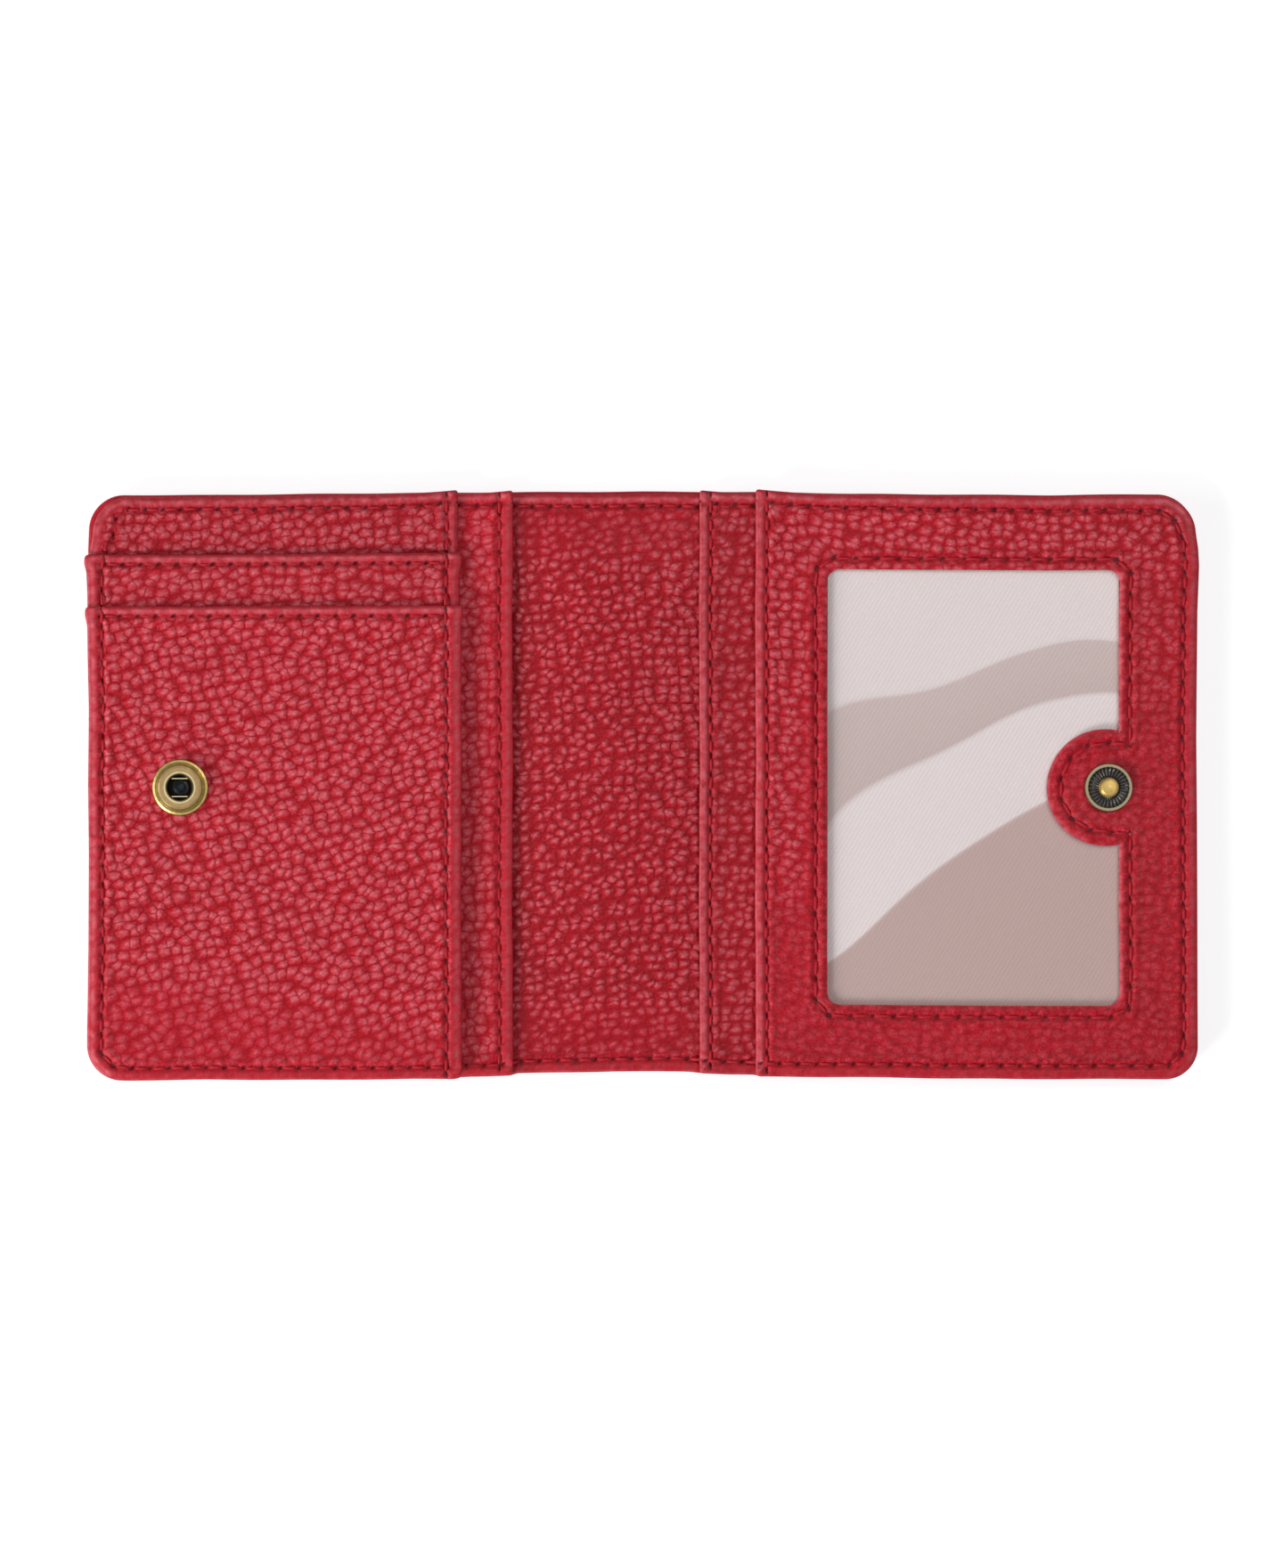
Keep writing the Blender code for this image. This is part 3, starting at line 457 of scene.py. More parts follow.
def pebbles(tree, place):
    """Pebbles' height from 0 to 1, and distances from a pebble's crease and the finer wrinkles."""
    stray = add(tree, "TexNoise", {"Vector": place, "Scale": 0.9, "Detail": 2.0})
    centred = add(tree, "VectorMath", [stray.outputs[1], (0.5, 0.5, 0.5)], operation="SUBTRACT")
    moved = add(tree, "VectorMath", [centred, (0.75, 0.75, 0.0), place], operation="MULTIPLY_ADD")
    middle, crease, bead, wrinkle = (
        add(
            tree,
            "TexVoronoi",
            {"Vector": moved, "Scale": scale, "Randomness": disorder},
            feature=feature,
            voronoi_dimensions="2D",
        )
        for scale, disorder in ((1.0, 0.7), (2.7, 1.0))
        for feature in ("F1", "DISTANCE_TO_EDGE")
    )
    loose = add(tree, "SeparateXYZ", [place]).outputs[2]
    reach = add(tree, "MapRange", {0: loose, 3: 0.78, 4: 0.57})
    reach = add(tree, "Math", [stray, 0.24, reach], operation="MULTIPLY_ADD")
    reach = add(tree, "Math", [reach, 0.12], operation="SUBTRACT")
    dome = add(tree, "MapRange", [middle, reach, 0.0], **SOFT)
    knob = add(tree, "MapRange", {0: bead, 1: 0.6, 2: 0.1, 4: 0.24}, **SOFT)
    rise = add(tree, "MapRange", [crease, 0.0, 0.14, -0.16, 0.0])
    height = add(tree, "Math", [dome, 0.84, knob], operation="MULTIPLY_ADD")
    return add(tree, "Math", [height, rise], operation="ADD"), crease, wrinkle


def pleats(tree, place, share):
    """Fine creases across the seams, from -0.5 to 0.5; share holds their strength along X and along Y."""
    total = 0.0
    strengths = add(tree, "SeparateXYZ", [share]).outputs
    for axis, stretch in enumerate(((2.4, 0.5, 0.0), (0.5, 2.0, 0.0))):
        spot = add(tree, "VectorMath", [place, stretch], operation="MULTIPLY")
        noise = add(tree, "TexNoise", {"Vector": spot, "Scale": 1.0, "Detail": 2.5}, noise_dimensions="2D")
        level = add(tree, "Math", [noise, 0.5], operation="SUBTRACT")
        total = add(tree, "Math", [level, strengths[axis], total], operation="MULTIPLY_ADD")
    return total


def relief_group():
    """Lifts each vertex by the pebbles' height times its relief attribute, in millimetres."""
    tree = bpy.data.node_groups.new("pebble_relief", "GeometryNodeTree")
    tree.interface.new_socket("Geometry", in_out="INPUT", socket_type="NodeSocketGeometry")
    tree.interface.new_socket("Geometry", in_out="OUTPUT", socket_type="NodeSocketGeometry")
    source = add(tree, "NodeGroupInput")
    grain, sewn_in = (
        add(tree, "GeometryNodeInputNamedAttribute", [name], data_type="FLOAT_VECTOR")
        for name in ("grain", "pleat")
    )
    relief = add(tree, "GeometryNodeInputNamedAttribute", ["relief"], data_type="FLOAT")
    level = add(tree, "Math", [pebbles(tree, grain)[0], 0.45], operation="SUBTRACT")
    scaled = add(tree, "Math", [level, relief], operation="MULTIPLY")
    side = add(tree, "Math", [relief], operation="SIGN")
    fold = add(tree, "Math", [pleats(tree, grain, sewn_in), side], operation="MULTIPLY")
    scaled = add(tree, "Math", [fold, 0.15, scaled], operation="MULTIPLY_ADD")
    metres = add(tree, "Math", [scaled, MM], operation="MULTIPLY")
    lift = add(tree, "CombineXYZ", {2: metres})
    moved = add(tree, "GeometryNodeSetPosition", {0: source, "Offset": lift})
    add(tree, "NodeGroupOutput", [moved])
    return tree


RELIEF = relief_group()
# A pebble's own width and height.
PEBBLE_WIDE, PEBBLE_HIGH = 2.05, 1.65


def grain_places(x, y, angle, seed, loose):
    """Places in pebbles, in rows at an angle that drifts a little, and how loose the pebbles stand."""
    turn = np.radians(angle)
    bend = 0.9 * np.sin(x / 19.0 + seed) + 0.7 * np.sin(y / 14.0 - seed)
    u = (x * np.cos(turn) + y * np.sin(turn) + bend) / PEBBLE_WIDE
    v = (-x * np.sin(turn) + y * np.cos(turn) + 0.8 * np.sin(x / 13.0 + 2 * seed)) / PEBBLE_HIGH
    return np.column_stack([u + 37.0 * seed, v + 11.0 * seed, at_each(loose, x, y)])


# The thread draws a groove, the leather puffs up beside it, and the needle leaves holes.
GROOVE_DEEP, GROOVE_WIDE = 0.24, 0.45
PUFF_HIGH, PUFF_OFF, PUFF_WIDE = 0.24, 1.1, 0.5
HOLE_DEEP = 0.22
# What lies deeper than this below a sheet's face is its turned edge or its back.
FACE_DEEP = 0.75


def finish_leather(
    piece,
    outline,
    seams,
    face,
    grain,
    inward=2.0,
    back=False,
    extra=None,
    raw=None,
    loose=0.0,
    tone=1.0,
):
    """Sews, grains and settles a leather sheet, and stores what its material reads.

    The grain is the angle of its rows, its seed and the pebbles' height in millimetres. Inward is the width
    of the band along the edge that the press flattens, and raw the line of an edge that is cut, not turned.
    """
    angle, seed, fullness = grain
    x, y, z = places(piece).T.copy()
    side = -1 if back else 1
    distance, inward_x, inward_y = from_edge(x, y, outline)
    gap, pull, hole = np.full(len(x), FAR), np.ones(len(x)), np.zeros(len(x))
    pleat = np.zeros((len(x), 3))
    for holes in seams:
        near, run, way, deep = near_seams(x, y, holes)
        pull = np.where(near < gap, 0.8 + 0.2 * np.cos(run * 2 * math.pi), pull)
        gap, hole = np.minimum(gap, near), np.maximum(hole, deep)
        strength = swell(near, 1.7) * step(0.1, 0.5, near)
        pleat[:, :2] = np.maximum(pleat[:, :2], abs(way) * strength[:, None])
    shown = (side * (z - face) > -FACE_DEEP) & (distance > 0.02)
    full = at_each(fullness, x, y)
    band = 1 - step(inward, inward + 0.7, distance)
    calm = (1 - 0.88 * band) * (1 - 0.6 * swell(gap, 0.9))
    # Painted highlight: the rolled edge and the flattened band are paler, the edge most where it faces left
    # or down and the band most along the left and top edges.
    facing = 0.2 + 0.45 * np.clip(inward_x, 0, 1) + 0.2 * np.clip(inward_y, 0, 1)
    lit = 0.14 + 0.62 * np.clip(np.maximum(inward_x, -inward_y), 0, 1) + 0.28 * np.clip(-inward_x, 0, 1)
    rim_highlight = np.maximum(facing * swell(distance - 0.24, 0.16), lit * pull * swell(distance - 0.9, 0.5))
    if raw is not None:
        # Painted highlight along the raw edge of the window, most where it faces left.
        near, _, way, _ = near_seams(x, y, raw)
        rim_highlight = np.maximum(rim_highlight, (0.1 + 0.7 * np.clip(way[:, 1], 0, 1)) * swell(near, 0.45))
    give(piece, "grain", grain_places(x, y, angle, seed, loose), "FLOAT_VECTOR")
    give(piece, "pleat", pleat * shown[:, None], "FLOAT_VECTOR")
    give(piece, "relief", side * full * calm * step(0.05, 0.6, distance) * shown)
    give(piece, "fullness", np.clip(full * calm / 0.3, 0, 1))
    give(piece, "hole", hole * shown)
    give(piece, "tone", at_each(tone, x, y))
    give(piece, "rim", rim_highlight * shown)
    puff = PUFF_HIGH * pull * swell(gap - PUFF_OFF, PUFF_WIDE)
    sewing = puff - GROOVE_DEEP * swell(gap, GROOVE_WIDE) - HOLE_DEEP * hole
    z = z + side * sewing * shown * step(0.0, 0.5, distance)
    if extra:
        x, y, z = extra(x, y, z)
    put(piece, settle(np.column_stack([x, y, z])))
    pick(piece)
    modifier = piece.modifiers.new("relief", "NODES")
    modifier.node_group = RELIEF
    bpy.ops.object.modifier_apply(modifier=modifier.name)
    smooth(piece)


# Leather sheets, from the outside in.


def rings_to(face, back, under=0.3):
    """The rings of a turned edge from the rolled face down to the back."""
    side = 1 if face > back else -1
    return [(0, back + side * under), (under * 0.3, back + side * under * 0.35), (under, back)]


# Steps of the grids: where the grain shows, on the outer side, and where other sheets hide the leather.
FINE, OUTER, HIDDEN = 0.25, 0.37, 4.0
# How wide a panel's turned edge is rounded over, and how far it drops.
ROLL = (0.9, 0.42)
# Corner radii: the shell's four, and a panel's corner that was only turned, not rounded.
SHELL_CORNERS = (6.0, 5.7, 6.2, 6.0)
SMALL = 0.6
# The width of the flattened band along a panel's edge.
PRESSED_BAND = 1.6
PANEL_ROWS = spaced((BOTTOM, FINE), (PANEL_TOP, 0))
pieces = {}

cover, cover_line = slab(
    "cover",
    spaced((-SIDE, OUTER), (MIDDLE, OUTER), (SIDE, 0)),
    spaced((BOTTOM, OUTER), (TOP, 0)),
    SHELL_CORNERS,
    0.0,
    [(0, 0.8), (0.07, 1.05), (0.25, 1.28), (0.55, 1.38), (0.9, COVER_Z), (3.0, COVER_Z), (3.1, 1.0)],
    (1.0, 0.7),
)
finish_leather(cover, cover_line, [SEAMS["edge_seam"]], 0.0, (8, 1, 0.24), back=True)

lining, lining_line = slab(
    "lining",
    spaced((-SIDE, HIDDEN), (-23.6, FINE), (MIDDLE, FINE), (11.2, HIDDEN), (SIDE, 0)),
    PANEL_ROWS,
    SHELL_CORNERS,
    LINING_Z,
    [(0, 1.75), (0.1, 1.6)],
    (0.7, 0.3),
)


def tucked(x, y):
    """How far a sheet's upper outer corners move, so that they stay inside the cover's."""
    return 0.9 * step(37, 44, y) * step(-80, -95, x) - 0.3 * step(40, 47, y) * step(85, 95, x)


def spine_fullness(x, y):
    """The pebbles stand full in the middle and are pressed flat at the spine's ends."""
    return 0.15 + 0.22 * step(43, 33, y) * step(-44, -30, y)


def spine_loose(x, y):
    """The pebbles stand apart, less so towards the right."""
    return 1 - 0.55 * step(-2, 8, x + 0.1 * y)


def spine_shade_tone(x, y):
    """A little darker all over, with painted shade in the corners beside the slip panels."""
    left, right = np.maximum(x - LEFT_SLIP_EDGE, 0), np.maximum(RIGHT_SLIP_EDGE - x, 0)
    return 0.9 - 0.2 * swell(left, 3.0) - 0.12 * swell(right, 2.5)


def spine_bow(x, y, z):
    """The lining stands up a little between the slip panels and is drawn down under them."""
    share = np.clip((x - LEFT_SLIP_EDGE) / (RIGHT_SLIP_EDGE - LEFT_SLIP_EDGE), 0, 1)
    bow = (0.95 * np.sin(math.pi * share) ** 1.3 - 0.1) * step(49, 36, abs(y))
    return x + tucked(x, y), y, z + bow * (z > 1.9)


finish_leather(
    lining,
    lining_line,
    [SEAMS["edge_seam"]],
    LINING_Z,
    (3, 2, spine_fullness),
    extra=spine_bow,
    loose=spine_loose,
    tone=spine_shade_tone,
)


def panel(name, columns, rows, radii, levels, seams, grain, **looks):
    """A panel with turned edges between its face's and its back's levels."""
    piece, line = slab(f"{name}_leather", columns, rows, radii, levels[0], rings_to(*levels), ROLL)
    holes = [SEAMS[f"{seam}_seam"] for seam in seams.split()]
    finish_leather(piece, line, holes, levels[0], grain, inward=PRESSED_BAND, **looks)
    pieces[name] = piece


def poke(x_end, amount):
    """Lets a sheet's fold-side end stand above the edge."""

    def moved(x, y, z):
        rise = amount * np.exp(-abs(x - x_end) / 7.0) * step(30, 50, y)
        return x + tucked(x, y), y + rise, z

    return moved


def knobs(mouth, x_end):
    """A mouth's turned edge stands out where the side seams hold it, and gapes between them."""

    def moved(x, y, z):
        near = swell(y - mouth + 1.3, 1.5)
        x = x - 0.42 * near * step(-92, -95.5, x) + 0.3 * near * step(x_end - 2, x_end, x)
        gape = 0.22 * step(-93, -84, x) * step(-34.5, -44, x) * step(mouth - 7, mouth - 1, y)
        return x, y, z + gape

    return moved


def shade_beside(base, depth, edge, axis):
    """A sheet's tone, darker in the shade of the sheet that ends at the edge."""

    def tone(*spot):
        return base - depth * np.exp(-np.maximum(spot[axis] - edge, 0) / 0.6)

    return tone


def pocket_fullness(x, y):
    """The pebbles are fuller above a slanting line across the pocket."""
    return 0.14 + 0.18 * step(-44, -24, y + 0.18 * x + 12)


panel(
    "left_slip_panel",
    spaced((-SIDE, HIDDEN), (-33.4, FINE), (LEFT_SLIP_EDGE, 0)),
    PANEL_ROWS,
    (6.0, SMALL, SMALL, 6.0),
    (SLIP_Z, 2.3),
    "edge left_slip",
    (5, 3, 0.18),
    extra=poke(LEFT_SLIP_EDGE, 0.75),
    tone=shade_beside(1.07, 0.2, CARD_EDGE, 0),
)
panel(
    "card_panel",
    spaced((-SIDE, FINE), (CARD_EDGE, 0)),
    spaced((BOTTOM, 1.2), (39, FINE), (PANEL_TOP, 0)),
    (6.0, SMALL, SMALL, 6.2),
    (CARD_Z, 3.4),
    "edge card_edge",
    (3, 4, 0.3),
    extra=poke(CARD_EDGE, 0.85),
    tone=shade_beside(0.89, 0.25, UPPER_MOUTH, 1),
)
panel(
    "card_strip",
    spaced((-SIDE, FINE), (STRIP_EDGE, 0)),
    spaced((STRIP_FOOT, 1.2), (30, FINE), (UPPER_MOUTH, 0)),
    (SMALL,) * 4,
    (STRIP_Z, 4.5),
    "edge card_edge upper_slot",
    (5, 5, 0.27),
    extra=knobs(UPPER_MOUTH, STRIP_EDGE),
    tone=shade_beside(0.93, 0.25, LOWER_MOUTH, 1),
)
panel(
    "card_pocket",
    spaced((-SIDE, FINE), (POCKET_EDGE, 0)),
    spaced((BOTTOM, FINE), (LOWER_MOUTH, 0)),
    (6.0, SMALL, SMALL, SMALL),
    (POCKET_Z, 4.85),
    "edge card_edge lower_slot",
    (17, 6, pocket_fullness),
    extra=knobs(LOWER_MOUTH, POCKET_EDGE),
    loose=0.15,
)
panel(
    "right_slip_panel",
    spaced((RIGHT_SLIP_EDGE, FINE), (21.4, HIDDEN), (SIDE, 0)),
    PANEL_ROWS,
    (SMALL, 5.7, 6.2, SMALL),
    (SLIP_Z, 2.3),
    "edge right_slip",
    (-5, 7, 0.2),
    extra=poke(RIGHT_SLIP_EDGE, 0.75),
    tone=0.8,
    loose=0.7,
)

# The window frame: a slab with a hemmed back, cut through, and then its raw edge is pressed.


def window_outline():
    """The window's outline, with the round tab reaching in from the right."""
    ends = [(low + WINDOW_CORNER, high - WINDOW_CORNER) for low, high in ((x_low, x_high), (y_low, y_high))]
    lift = math.degrees(math.acos((x_high - tab_x) / tab_radius))
    return round_corners(*ends, WINDOW_CORNER, 8) + arc((tab_x, tab_y), tab_radius, 360 - lift, lift, 72)


window_frame, frame_line = slab(
    "window_frame_leather",
    spaced((FRAME_EDGE, FINE), (SIDE, 0)),
    PANEL_ROWS,
    (SMALL, 5.7, 6.2, SMALL),
    FRAME_Z,
    [(0, 3.75), (0.1, 3.5), (0.35, 3.4), (3.0, 3.4), (3.1, 4.15)],
    ROLL,
)
cutter_mesh = bpy.data.meshes.new("window_cutter")
rim = window_outline()
closed_rim = np.array(rim + rim[:1])
count = len(rim)
cutter_mesh.from_pydata(
    [(px * MM, py * MM, z * MM) for z in (0.0, 9.0) for px, py in rim],
    [],
    [list(range(count))[::-1], list(range(count, 2 * count))]
    + [[k, (k + 1) % count, count + (k + 1) % count, count + k] for k in range(count)],
)
cutter = bpy.data.objects.new("window_cutter", cutter_mesh)
bpy.context.collection.objects.link(cutter)
pick(window_frame)
cut = window_frame.modifiers.new("window", "BOOLEAN")
cut.operation, cut.solver, cut.object = "DIFFERENCE", "EXACT", cutter
bpy.ops.object.modifier_apply(modifier=cut.name)
bpy.data.objects.remove(cutter)


def frame_fullness(x, y):
    """The frame's pebbles are pressed nearly flat, least so above the tab and in the lower left."""
    upper = 0.07 * step(8, 20, y) + 0.07 * step(32, 44, y)
    return 0.08 + upper + 0.12 * step(30, 26, x) * step(-30, -10, y)


def frame_tone(x, y):
    """The frame is a little darker towards the right and the foot."""
    return 0.97 - 0.06 * step(60, 90, x) - 0.02 * step(-30, -45, y)


def pressed_rim(x, y, z):
    """The raw edge of the window is pressed down a little, and the fold-side end stands up."""
    gap = near_seams(x, y, closed_rim)[0]
    y = y + 0.85 * np.exp(-abs(x - FRAME_EDGE) / 7.0) * step(30, 50, y)
    return x, y, z - 0.16 * swell(gap, 0.35) * (z > FRAME_Z - 0.4)


finish_leather(
    window_frame,
    frame_line,
    [SEAMS["edge_seam"], SEAMS["frame_edge_seam"], SEAMS["window_seam"]],
    FRAME_Z,
    (-4, 8, frame_fullness),
    inward=PRESSED_BAND,
    extra=pressed_rim,
    raw=closed_rim,
    loose=0.4,
    tone=frame_tone,
)
pieces["window_frame"] = window_frame

# The soft reinforcement between the cover and the lining, a hair inside its solid.

interlining, _ = slab(
    "interlining",
    spaced((-92.3, HIDDEN), (-9, 0.6), (MIDDLE, 0.6), (10, HIDDEN), (92.3, 0)),
    spaced((-46.2, HIDDEN), (47.2, 0)),
    (SMALL,) * 4,
    1.38,
    [(0, 1.1), (0.1, 1.02)],
    (0.2, 0.15),
)
smooth(interlining)


def halves(piece, names):
    """Splits a sheet in mid-spine into a left and a right half."""
    made_normals = np.empty(len(piece.data.vertices) * 3)
    piece.data.vertices.foreach_get("normal", made_normals)
    give(piece, "made_normal", made_normals, "FLOAT_VECTOR")
    made = []
    for name, cleared in zip(names, ("clear_outer", "clear_inner")):
        half = piece.copy()
        half.data = piece.data.copy()
        bpy.context.collection.objects.link(half)
        named(half, name)
        pick(half)
        bpy.ops.object.mode_set(mode="EDIT")
        bpy.ops.mesh.select_all(action="SELECT")
        bpy.ops.mesh.bisect(
            plane_co=(MIDDLE * MM, 0, 0),
            plane_no=(1, 0, 0),
            use_fill=True,
            threshold=2e-5,
            **{cleared: True},
        )
        bpy.ops.object.mode_set(mode="OBJECT")
        keep_normals(half)
        made.append(half)
    bpy.data.objects.remove(piece)
    return made


def keep_normals(half):
    """Gives the split's rim the normals of the whole sheet, so that the split doesn't show."""
    mesh = half.data
    spots = places(half)
    kept = np.empty(len(spots) * 3)
    mesh.attributes["made_normal"].data.foreach_get("vector", kept)
    corners = np.empty(len(mesh.loops), int)
    mesh.loops.foreach_get("vertex_index", corners)
    counts = np.empty(len(mesh.polygons), int)
    mesh.polygons.foreach_get("loop_total", counts)
    faces = np.empty(len(mesh.polygons) * 3)
    mesh.polygons.foreach_get("normal", faces)
    facing_z = np.repeat(abs(faces.reshape(-1, 3)[:, 2]) > 0.3, counts)
    rim = (abs(spots[corners, 0] - MIDDLE) < 0.01) & facing_z
    normals = np.where(rim[:, None], kept.reshape(-1, 3)[corners], 0.0)
    mesh.normals_split_custom_set(normals.tolist())


def fold_blend(piece):
    """Bakes a piece's placement into its mesh."""
    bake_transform(piece)


for whole, kind in ((cover, "cover"), (lining, "lining"), (interlining, "interlining")):
    hands = ("left", "right")
    for half, hand in zip(halves(whole, [f"{hand}_{kind}_half" for hand in hands]), hands):
        pieces[half.name] = half
        half["stands_for"] = [f"{hand}_{kind}", f"spine_{kind}"]

# Stitches: one twisted thread, bowed from hole to hole, copied along each seam.


def one_stitch():
    """A stitch of unit length along X: a thread whose ends dive into their holes."""
    deselect()
    bpy.ops.mesh.primitive_cylinder_add(
        vertices=6, radius=1, depth=1, end_fill_type="NGON", location=(0, 0, 0), rotation=(0, math.pi / 2, 0)
    )
    stitch = named(bpy.context.object, "stitch")
    bpy.ops.object.transform_apply(location=False, rotation=True, scale=False)
    bpy.ops.object.mode_set(mode="EDIT")
    for cut_x in (-0.42, -0.3, -0.12, 0.12, 0.3, 0.42):
        bpy.ops.mesh.select_all(action="SELECT")
        bpy.ops.mesh.bisect(plane_co=(cut_x, 0, 0), plane_no=(1, 0, 0))
    bpy.ops.object.mode_set(mode="OBJECT")
    found = places(stitch) * MM
    faces = [list(face.vertices) for face in stitch.data.polygons]
    bpy.data.objects.remove(stitch)
    return found, faces


STITCH, STITCH_FACES = one_stitch()
# The thread's radius, how far its middle and its ends sink in, and the gap between two stitches.
THREAD, THREAD_SUNK, THREAD_DIVE, STITCH_GAP = 0.27, 0.07, 0.4, 1.05


def stitches(name, holes, chosen=None, under=False):
    """One mesh with a stitch between each two holes; under is for the cover's outer side."""
    spots, faces = [], []
    for number, ((ax, ay), (bx, by)) in enumerate(zip(holes, holes[1:])):
        if chosen and not chosen((ax + bx) / 2):
            continue
        length = math.hypot(bx - ax, by - ay)
        tx, ty = (bx - ax) / length, (by - ay) / length
        along = length / 2 + STITCH[:, 0] * (length - STITCH_GAP)
        share = STITCH[:, 0] * 2
        thick = THREAD * (1 + 0.12 * math.sin(number * 1.7)) * (1 - 0.25 * share**4)
        turn = STITCH[:, 0] * 2.2 + number
        c, s = np.cos(turn), np.sin(turn)
        off = (STITCH[:, 1] * c - STITCH[:, 2] * s) * thick
        off += 0.06 * math.sin(number * 2.4) * share + 0.05 * math.sin(number)
        rise = (STITCH[:, 1] * s + STITCH[:, 2] * c) * thick * 0.8 - THREAD_SUNK - THREAD_DIVE * share**4
        if under:
            height = 0.04 - rise
        else:
            start, end = surface(ax, ay), surface(bx, by)
            height = start + (end - start) * along / length + rise
        spots.append(np.column_stack([ax + tx * along - ty * off, ay + ty * along + tx * off, height]))
        first = len(STITCH) * len(faces)
        faces.append([[first + v for v in face] for face in STITCH_FACES])
    mesh = bpy.data.meshes.new(name)
    mesh.from_pydata([(0, 0, 0)] * (len(STITCH) * len(faces)), [], [f for group in faces for f in group])
    piece = bpy.data.objects.new(name, mesh)
    bpy.context.collection.objects.link(piece)
    put(piece, settle(np.vstack(spots)))
    pick(piece)
    bpy.ops.object.mode_set(mode="EDIT")
    bpy.ops.mesh.select_all(action="SELECT")
    bpy.ops.mesh.normals_make_consistent(inside=False)
    bpy.ops.object.mode_set(mode="OBJECT")
    smooth(piece, 70)
    pieces[name] = piece
    return piece


EDGE = SEAMS["edge_seam"]
for hand, chosen in (("left", lambda x: x < MIDDLE), ("right", lambda x: x >= MIDDLE)):
    for kind, under in (("edge", False), ("outer", True)):
        piece = stitches(f"{hand}_{kind}_stitches", EDGE, chosen, under)
        piece["stands_for"] = [f"{hand}_edge_seam", "spine_top_seam", "spine_bottom_seam"]
for seam in list(SEAMS)[1:]:
    piece = stitches(f"{seam[:-5]}_stitches", SEAMS[seam])
    piece["stands_for"] = [seam]

# Materials.

COLOURS = {"data_type": "RGBA"}
PRODUCT = {"data_type": "RGBA", "blend_type": "MULTIPLY"}


def material(name):
    """A material and its empty tree."""
    made = bpy.data.materials.new(name)
    made.use_nodes = True
    made.node_tree.nodes.clear()
    return made, made.node_tree


def coat(tree, looks):
    """Ends a material's tree with its surface."""
    add(tree, "OutputMaterial", {"Surface": add(tree, "BsdfPrincipled", looks)})


